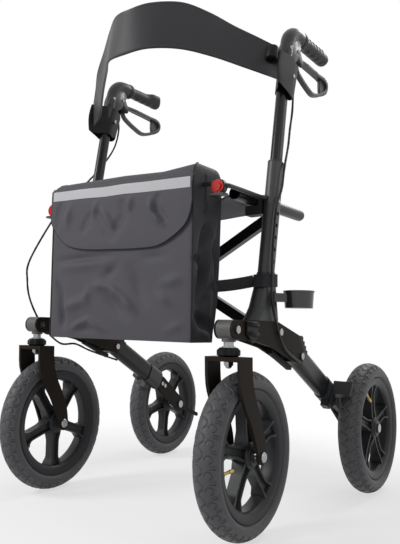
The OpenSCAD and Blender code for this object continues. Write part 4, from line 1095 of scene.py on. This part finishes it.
@dataclass(frozen=True)
class Bag:
    """Shopping bag with a lid flap, piping, a reflecting stripe and two side straps."""

    half: float = 186.0
    bottom: float = 352.0
    lid_half: float = 187.0
    lid_top: float = 669.0
    lid_y: float = -341.6
    tilt: float = 6.5
    gain: float = 2.5
    folds: Sequence[Fold] = (
        ((-169, 514), (-12, 520), 8, -3.2), ((-150, 500), (-30, 503), 12, 2.0),
        ((75, 510), (123, 511), 9, -1.6), ((-54, 458), (-10, 454), 9, 2.6), ((-10, 454), (26, 432), 9, 4.0),
        ((26, 432), (54, 405), 8, 4.2), ((-30, 440), (30, 394), 13, -3.4),
        ((-25, 476), (-1, 492), 10, -2.8), ((-124, 362), (-71, 386), 7, 4.4),
        ((-67, 386), (-21, 359), 7, 4.4), ((-100, 358), (-48, 364), 9, -3.4),
        ((-171, 475), (-152, 440), 9, -4.0), ((-152, 440), (-144, 359), 9, -4.4),
        ((112, 436), (140, 418), 9, 2.8), ((124, 459), (169, 465), 9, 2.2),
        ((-143, 411), (-76, 427), 11, 2.8), ((-76, 427), (-73, 448), 9, 2.4),
        ((45, 485), (77, 424), 14, -3.0), ((120, 360), (178, 384), 9, 2.2),
    )
    flap_folds: Sequence[Fold] = (
        ((-49, 629), (-66, 596), 7, 3.4), ((-54, 618), (-87, 575), 8, -3.0),
        ((-50, 609), (-26, 581), 8, -3.0), ((-26, 581), (-11, 555), 9, -2.8),
        ((-36, 616), (4, 566), 8, 3.0), ((19, 621), (30, 601), 8, -3.0), ((30, 601), (-4, 557), 9, -2.8),
        ((43, 633), (36, 600), 7, 2.6), ((91, 618), (101, 591), 7, 4.2), ((101, 591), (121, 571), 7, 3.6),
        ((110, 629), (106, 604), 6, -3.0), ((106, 604), (126, 578), 6, -2.8),
        ((-129, 629), (-136, 591), 10, 2.4), ((-159, 632), (-169, 586), 8, -2.4),
    )
    side_folds: Sequence[Fold] = (
        ((-284, 509), (-302, 457), 9, 6), ((-302, 457), (-316, 419), 9, 5),
        ((-264, 500), (-286, 440), 9, -5), ((-276, 572), (-303, 517), 10, 5),
        ((-330, 503), (-300, 504), 7, 4), ((-256, 538), (-250, 460), 8, 4),
        ((-320, 400), (-270, 372), 10, 5), ((-262, 610), (-270, 560), 9, -4),
    )
    hem: Sequence[Point] = (
        (-187, 604), (-180, 588), (-162, 568), (-136, 547), (-87, 535), (-5, 530), (58, 528), (107, 530),
        (142, 544), (170, 564), (182, 586), (187, 612),
    )

    def slope(self, x: Array) -> Array:
        """How far the lid's edge and the tape stand above their mean height: the right end is pulled up."""
        return np.interp(x, [-self.lid_half, self.lid_half], [self.tilt, -self.tilt])

    def hung(self, x: Array, z: Array) -> Array:
        """Height of a point of the flap, pulled up near the lid."""
        return z + ease(z, 600, 660) * self.slope(x)

    def ridges(self, folds: Sequence[Fold], x: Array, z: Array) -> Array:
        """Sum of soft folds.

        Args:
            folds: Start, end, width and height of each.
            x: First coordinate of each point.
            z: Second coordinate of each point.

        Returns:
            Height at each point.
        """
        return self.gain * sum(h * crease(x, z, a, b, w) for a, b, w, h in folds)

    def outline(self) -> Array:
        """Side view of the bag: depth limits and half width at each height, bottom to top."""
        z = [351.5, 352, 356, 452, 560, 640, 660, 672, 679, 683]
        front = [-331, -334.5, -336.5, -336.8, -336.8, -336.8, -336.6, -329, -319, -307]
        back = [-268, -263, -261, -241, -236, -233.5, -235, -240, -246, -254]
        half = [180, 183.5, 185.5, 186, 186.5, 186.5, 186.5, 185, 182, 177]
        return Line.even(Line.smooth(np.stack([z, front, back, half], 1), 10), 120)

    def swell(self, x: Array, z: Array) -> Array:
        """Height of the front panel's folds, and its soft belly, in millimetres."""
        edge = ease(self.half - np.abs(x), 4, 40) * ease(z, self.bottom, 385) * (1 - ease(z, 500, 545))
        return edge * (self.ridges(self.folds, x, z) + 2.0 * bump(z, 430, 70))

    def body(self) -> None:
        """Lofted shell: rounded oblong rings up the bag, drawn in at the gussets and closed at its ends."""
        rows = self.outline()
        ring = Line.even(Line.box(1, 1, 0.06, 8), 300, closed=True)
        corner = np.abs(ring[:, 0]) ** 40
        z, front, back, half = (rows[:, k : k + 1] for k in range(4))
        x = ring[:, 0] * half
        y = (front + back) / 2 + ring[:, 1] * (back - front) / 2
        is_front, is_side = ease(-ring[:, 1], 0.97, 1.0), ease(np.abs(ring[:, 0]), 0.985, 1.0)
        y = y - is_front * self.swell(x, z)
        depth = (y - front) / (back - front)
        tall = np.sin(np.pi * np.clip((z - self.bottom) / 250, 0, 1))
        tuck = (11 * bump(depth, 0.45, 0.2) + 3 * bump(depth, 0.85, 0.1)) * tall
        tuck = tuck + self.ridges(self.side_folds, y, z) * (1 - ease(z, 565, 590))
        x = x - np.sign(ring[:, 0]) * is_side * corner * np.maximum(tuck, 0) * (1 - ease(z, 655, 672))
        crown = np.interp(x, [-self.lid_half, 0, 100, 150, self.lid_half], [1, 5, 3, 8, 12])
        z = z + ease(z, 640, 680) * (self.slope(x) + crown)
        grid = np.stack([x, y, z], 2)
        share = np.linspace(0.02, 0.9, 6)[:, None, None]
        bottom = self.spine(grid[:1]) * (1 - share) + grid[:1] * share
        top = (self.spine(grid[-1:]) * (1 - share) + grid[-1:] * share)[::-1]
        top[..., 2] += 1.5 * (1 - share[::-1, :, 0] ** 2)
        whole = np.concatenate([bottom, grid, top])
        # Faces on the gussets take the darker copy of the bag fabric: painted shade.
        dark = np.broadcast_to((is_side > 0.5) & (corner > 0.3), whole.shape[:2])[:-1]
        made = Solid("bag_shell").add(whole, slot=dark.astype(int).ravel())
        self.crumple(made.build(Paint.BAG, Paint.SHADED_BAG, sharp=70), "left_frame", "bag_body")

    @staticmethod
    def spine(row: Array) -> Array:
        """Middle line of a ring, to which a closed end is drawn in."""
        return np.stack([row[..., 0] * 0.8, np.full(row.shape[:2], row[..., 1].mean()), row[..., 2]], 2)

    def lid(self, x: Array, z: Array) -> Array:
        """Y of the flap's front face: close to the bag, with soft folds and a belly."""
        out = self.ridges(self.flap_folds, x, z)
        soft = ease(self.lid_half - np.abs(x), 2, 26) * (1 - ease(z, 630, 642)) * ease(z, 527, 545)
        return self.lid_y - soft * (np.maximum(out, -2.6) + 0.8)

    def rolled(self, x: Array, z: Array) -> Array:
        """The same, with the top edge rolled back over the lid."""
        return self.lid(x, z) + 6.5 * ease(z, 660, 670)

    def low_edge(self, x: Array) -> Array:
        """Height of the flap's lower edge."""
        line = Line.smooth(self.hem, 16)
        return np.interp(x, line[:, 0], line[:, 1])

    def flap(self) -> None:
        """Thin panel from the lid's front edge down to the curved hem."""
        x = self.lid_half * np.sin(np.linspace(-1, 1, 130) * np.pi / 2)[:, None]
        v = np.linspace(0, 1, 56)[None]
        z = self.lid_top + (self.low_edge(x) - self.lid_top) * v
        front = np.stack([x + 0 * z, self.rolled(x, z), self.hung(x, z)], 2)
        made = Solid("bag_flap_panel").add(Form.sheet(front, front + (0, 2.2, 0)))
        self.crumple(made.build(Paint.BAG, sharp=70), "bag_flap", "bag_flap")

    def stripe(self) -> None:
        """Pale reflecting tape sewn across the flap."""
        x = np.linspace(-181, 183, 90)[:, None]
        z = np.linspace(661, 640.5, 6)[None] + 0.8 * np.sin(x / 21) * bump(x, -20, 90)
        front = np.stack([x + 0 * z, self.rolled(x, z) - 0.5, z + self.slope(x)], 2)
        made = Solid("bag_stripe").add(Form.sheet(front, front + (0, 0.45, 0))).build(Paint.STRIPE)
        self.crumple(made, "bag_flap")

    def piping(self) -> None:
        """Cord sewn into the flap's edge."""
        down = [(-186.5, z) for z in (652, 640, 622)]
        flat = Line.smooth(down + list(self.hem) + [(-x, z) for x, z in down[::-1]], 12)
        x, z = flat[:, 0], flat[:, 1]
        line = np.column_stack([x, self.lid(x, z) + 1.0, self.hung(x, z)])
        grid = Form.rod(Line.even(line, 220), Line.oval(1.3, 1.3, count=10), (0, 1, 0))
        made = Solid("bag_flap_piping").add(grid).build(Paint.PIPING)
        self.crumple(made, "bag_flap")

    def seams(self) -> None:
        """Bound seams along the bag's bottom and up its front corners, over the lid's rounded edge."""
        rows = self.outline()[4::5]
        made = Solid("bag_seams")
        for s in (-1, 1):
            x = s * (rows[:, 3] - 1.0)
            rise = ease(rows[:, 0], 640, 680) * (self.slope(x) + (12 if s > 0 else 1))
            line = np.column_stack([x, rows[:, 1] + 1.2, rows[:, 0] + rise])
            made.add(Form.rod(line, Line.oval(1.5, 1.5, count=10), (1, 0, 0)))
        x = np.linspace(-182, 182, 60)
        line = np.column_stack([x, np.full(60, -334.5), np.full(60, 353.0)])
        made.add(Form.rod(line, Line.oval(1.6, 1.6, count=10), (0, 0, 1)))
        self.crumple(made.build(Paint.PIPING), "left_frame")

    def patches(self) -> None:
        """Hanging strip with two bound edges and a sewn square, on each side of the bag."""
        made = Solid("bag_side_patches")
        strip = [(-296, 590), (-249, 592), (-246, 668), (-296, 668)]
        square = [(-290, 594), (-255, 596), (-255, 618), (-290, 616)]
        for side in Side:
            made.add(side.place(Form.slab(strip, 184.5, 187.2, 0.4)))
            made.add(side.place(Form.slab(square, 184.5, 188.0, 0.4)), slot=1)
            for y in (-293, -250):
                hem = [(186.6, y, 594), (186.6, y + 1, 630), (186.6, y + 2, 667)]
                made.add(side.place(Form.rod(hem, Line.oval(1.6, 1.6, count=8), (0, 1, 0))))
        # The hanging strips take the darker copy of the bag fabric, painted shade like the gussets'; the
        # squares take the piping's colour.
        self.crumple(made.build(Paint.SHADED_BAG, Paint.PIPING), "left_frame")

    def strap(self, side: Side) -> None:
        """Webbing from the bag's rear corner to the post and once round its foot.

        Args:
            side: Which post.
        """
        rise = np.linspace(-12.5, 12.5, 9)[None]
        loop = Line.oval(1, 1, 3.4, 90)
        span = np.where(loop[:, 1:2] < 0, 27.5 - 0.42 * rise, 26.5)
        y = -175.5 + loop[:, 1:2] * span
        z = 470 + 1.5 * loop[:, 1:2] + rise

        def wall(half: float, out: float) -> Array:
            """Face of the ring, so far out from the post."""
            return np.stack([POST_X + loop[:, :1] * half + 0 * rise, y + loop[:, 1:2] * out, z], 2)

        ring = np.concatenate([wall(18.2, 1.6), wall(16.6, 0.0)[:, ::-1]], 1)
        tongue = Line.smooth([(172, -252, 455), (200, -230, 459), (220, -210, 464), (238, -199, 468.5)], 8)
        flat = Form.rod(tongue, Line.box(1.0, 11.5, 0.8, 3), (0, 0, 1))
        made = Solid(side.of("strap")).add(side.place(ring), wrap_rows=True).add(side.place(flat))
        attach(made.build(Paint.WEBBING), side.of("frame"))

    @staticmethod
    def crumple(piece: Object, body: str, *nodes: str) -> None:
        """Attaches a piece and gives it a mesh of its own; the arguments are those of attach."""
        attach(piece, body, *nodes)
        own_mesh(piece)

    def build(self) -> None:
        """Makes all pieces of the bag."""
        for make in (self.body, self.flap, self.stripe, self.piping, self.seams, self.patches):
            make()
        for side in Side:
            self.strap(side)


@dataclass(frozen=True)
class Seat:
    """Cloth seat that hangs between the rails."""

    reach: float = 201.5
    front: float = -226.0
    rear: float = -43.0
    top: float = 637.0
    sag: float = 9.0
    thick: float = 3.0

    def build(self) -> None:
        """Sagging sheet: a parabola across, hollowed at its free edges, thicker at the hems."""
        u = np.linspace(-1, 1, 90)[:, None]
        v = np.linspace(0, 1, 80)[None]
        y = self.front + (self.rear - self.front) * v
        notch = 13 * ease(y, -122, -114) * (1 - ease(y, -74, -66))
        inset = 10 * (1 - u * u) * (bump(v, 0, 0.1) - bump(v, 1, 0.1))
        x = u * (self.reach - notch)
        drop = self.sag * (1 - (x / self.reach) ** 2)
        ripple = 1.2 * np.cos(u * 9) * (bump(v, 0, 0.12) + bump(v, 1, 0.12)) * (1 - u * u)
        inward = self.reach - np.abs(x)
        ripple = ripple + 2.4 * np.sin(inward / 4.5) * bump(inward, 26, 22)
        hem = 1.2 * (1 - ease(np.minimum(v, 1 - v) * (self.rear - self.front), 14, 16))
        z = self.top - drop + ripple
        top, low = (np.stack([x + 0 * v, y + inset, face], 2) for face in (z + hem, z - self.thick - hem))
        made = Solid("seat_cloth").add(Form.sheet(top, low)).build(Paint.SEAT, sharp=60)
        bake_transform(made)
        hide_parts("seat_sling")


@dataclass(frozen=True)
class Trim:
    """Small moulded pieces on one side of the frame."""

    side: Side

    def clip(self) -> None:
        """Cable clip on the outer plate: a base with two hooks."""
        made = Solid(self.side.of("cable_clip"))
        plate = [(-289, 389), (-250, 390), (-247, 375), (-251, 358), (-262, 350), (-272, 353), (-289, 366)]
        made.add(self.side.place(Form.slab(plate, 268.3, 273.5)))
        for z in (384, 367):
            hook = [(272, -284, z), (277, -280, z + 1), (279, -268, z), (277, -256, z - 1)]
            line = Line.smooth(self.side.place([*hook, (272, -252, z - 2)]), 6)
            made.add(Form.rod(line, Line.oval(3.2, 3.8, count=10)))
        attach(made.build(Paint.DARK), self.side.of("frame"))

    def stop(self) -> None:
        """Ribbed rubber stop under the plates."""
        line = Line.even(np.array([(POST_X, -158, 333), (POST_X, -72, 298)]), 90)
        size = 1 + 0.08 * np.cos(np.linspace(0, 1, 90) * 2 * np.pi * 16)
        grid = Form.rod(line, size[:, None, None] * Line.box(6, 4.5, 2, 4))
        made = Solid(self.side.of("stop")).add(self.side.place(grid))
        attach(made.build(Paint.RUBBER), self.side.of("frame"))

    def block(self) -> None:
        """Moulded block with steps along its back, where the rear leg enters the plates."""
        teeth = [(-36, 364), (-29, 362), (-30, 354), (-22, 352), (-23, 344), (-15, 342), (-16, 334)]
        outline = [(-96, 366), *teeth, (-8, 331), (-12, 318), (-40, 302), (-92, 312)]
        grid = Form.slab(outline[::-1], 236.2, 263.8, 1.5)
        made = Solid(self.side.of("leg_block")).add(self.side.place(grid))
        attach(made.build(Paint.DARK, sharp=30), self.side.of("frame"))

    def hardware(self) -> None:
        """Swivel stem, star nut and cap nut of the fork, with the heads of its axle."""
        made = Solid(self.side.of("caster_hardware"))
        foot, axle = self.side.place((POST_X, STEM_Y, 0)), self.side.place((POST_X, -AXLE_Y, WHEEL_R))
        star = [(326, 6), (326, 15), (329, 20), (337, 20), (342, 15), (342, 6)]
        grid = Form.turn(star, foot, (0, 0, 1), (1, 0, 0), 96)
        lobe = 1 + 0.07 * np.cos(8 * np.linspace(0, 2 * np.pi, 96, endpoint=False))[:, None]
        grid[..., :2] = foot[:2] + (grid[..., :2] - foot[:2]) * lobe[..., None]
        made.add(grid, wrap_rows=True, slot=1)
        stem = [(308, 0), (308, 6), (341, 6), (341, 12.5), (344, 12.5), (344.5, 9), (366, 9), (366, 0)]
        cap = [(305, 0), (306, 4.5), (309, 7), (310.5, 7.4), (311, 9.6), (318, 9.6), (318, 0)]
        for profile, count in ((stem, 32), (cap, 6)):
            made.turned(profile, foot, (0, 0, 1), (1, 0, 0), count=count)
        washer = [(22.5, 0), (22.5, 9.6), (29.4, 9.6), (29.4, 6), (35.6, 6)]
        head = [(35.6, 9.4), (38.4, 9.4), (39.8, 8), (40.3, 0)]
        for face in (1, -1):
            made.turned(washer + head, axle, (face, 0, 0), count=24)
        piece = made.build(Paint.STEEL, Paint.DARK, sharp=35)
        attach(piece, self.side.of("caster"), self.side.of("caster_bolts"))

    def hanger(self) -> None:
        """Rod from the post to the cup behind the reflector, with a shelf and a stub to the bag."""
        end = (220, -300, 637)
        rod = [(247, -163.5, 638.5), (241, -168, 638.5), (238, -182, 638.5), (238, -284, 638.5)]
        stub = [(187.4, -300, 646), (204, -300, 646), (220, -300, 646)]
        shelf = [(-313, 624), (-294, 624), (-294, 619.5), (-313, 619.5)]
        cup = [(-6, 0), (-6, 14), (-5, 15), (5, 15), (6, 14), (6, 0)]
        made = Solid(self.side.of("bag_rod"))
        for line in (Line.smooth([*rod, (232, -298, 638), end], 8), stub):
            made.add(Form.rod(self.side.place(line), Line.oval(4.5, 4.5, count=14)))
        made.add(self.side.place(Form.slab(shelf, 205, 236, 0.8)))
        made.turned(cup, self.side.place(end), (0, 1, 0), (1, 0, 0), count=40)
        attach(made.build(Paint.PLASTIC), self.side.of("frame"), self.side.of("bag_hanger"))

    def build(self) -> None:
        """Makes the pieces."""
        self.hanger()
        self.clip()
        self.stop()
        self.block()
        self.hardware()


def dress(nodes: dict[str, Object]) -> None:
    """Gives each CAD node the finish of its record slot.

    Args:
        nodes: The CAD objects by name.
    """
    # The post tubes take the lighter copy of the frame paint, a painted highlight; the caster heads take
    # their own grey.
    own = {"caster_head": Paint.HOUSING, "post_tube": Paint.POST_LIT}
    for name, node in nodes.items():
        for slot in node.material_slots:
            finish = Paint.of_slot(slot.material.name.split(".")[0])
            slot.material = own.get(name.split("_", 1)[-1], finish).material()
        LOG.info("%s: finish set", name)


# Routes of the brake cables, as in the part's source
LEFT_ROUTE = (
    (250, -50, 934), (250, -46, 900), (250, -50, 850), (252, -67, 802), (256, -84, 762),
    (268.5, -128, 705), (271, -147, 655), (269, -164, 620), (270, -183, 530), (272, -191, 470),
    (272, -191, 433), (272, -172, 386), (272, -138, 340), (272, -62, 308),
)
RIGHT_ROUTE = (
    (-250, -50, 934), (-250, -46, 900), (-252, -60, 850), (-262, -90, 800), (-278, -131, 747),
    (-288, -190, 690), (-290, -238, 634), (-290, -309, 526), (-290, -315, 477), (-288, -304, 428),
    (-281, -270, 372), (-264, -228, 331), (-250, -189, 329), (-250, -142, 314), (-250, -97, 302),
    (-250, -30, 285.7),
)


def main() -> None:
    """Builds the scene in order."""
    logging.basicConfig(level=logging.INFO, format="%(name)s: %(message)s")
    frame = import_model()
    Studio().build()
    Cable(Side.LEFT, LEFT_ROUTE).build()
    Cable(Side.RIGHT, RIGHT_ROUTE).build()
    dress(frame["nodes"])
    for side, rolled in ((Side.LEFT, 0.0), (Side.RIGHT, 31.0)):
        front, rear = side.place((POST_X, -AXLE_Y, WHEEL_R)), side.place((REAR_X, AXLE_Y, WHEEL_R))
        Wheel(side.of("front"), front, phase=23 + rolled, valve=191 + rolled).build()
        Wheel(side.of("rear"), rear, phase=18 + rolled, valve=121 + rolled).build()
        Handle(side).build()
        Trim(side).build()
    Band().build()
    Bag().build()
    Seat().build()


if __name__ == "__main__":
    main()
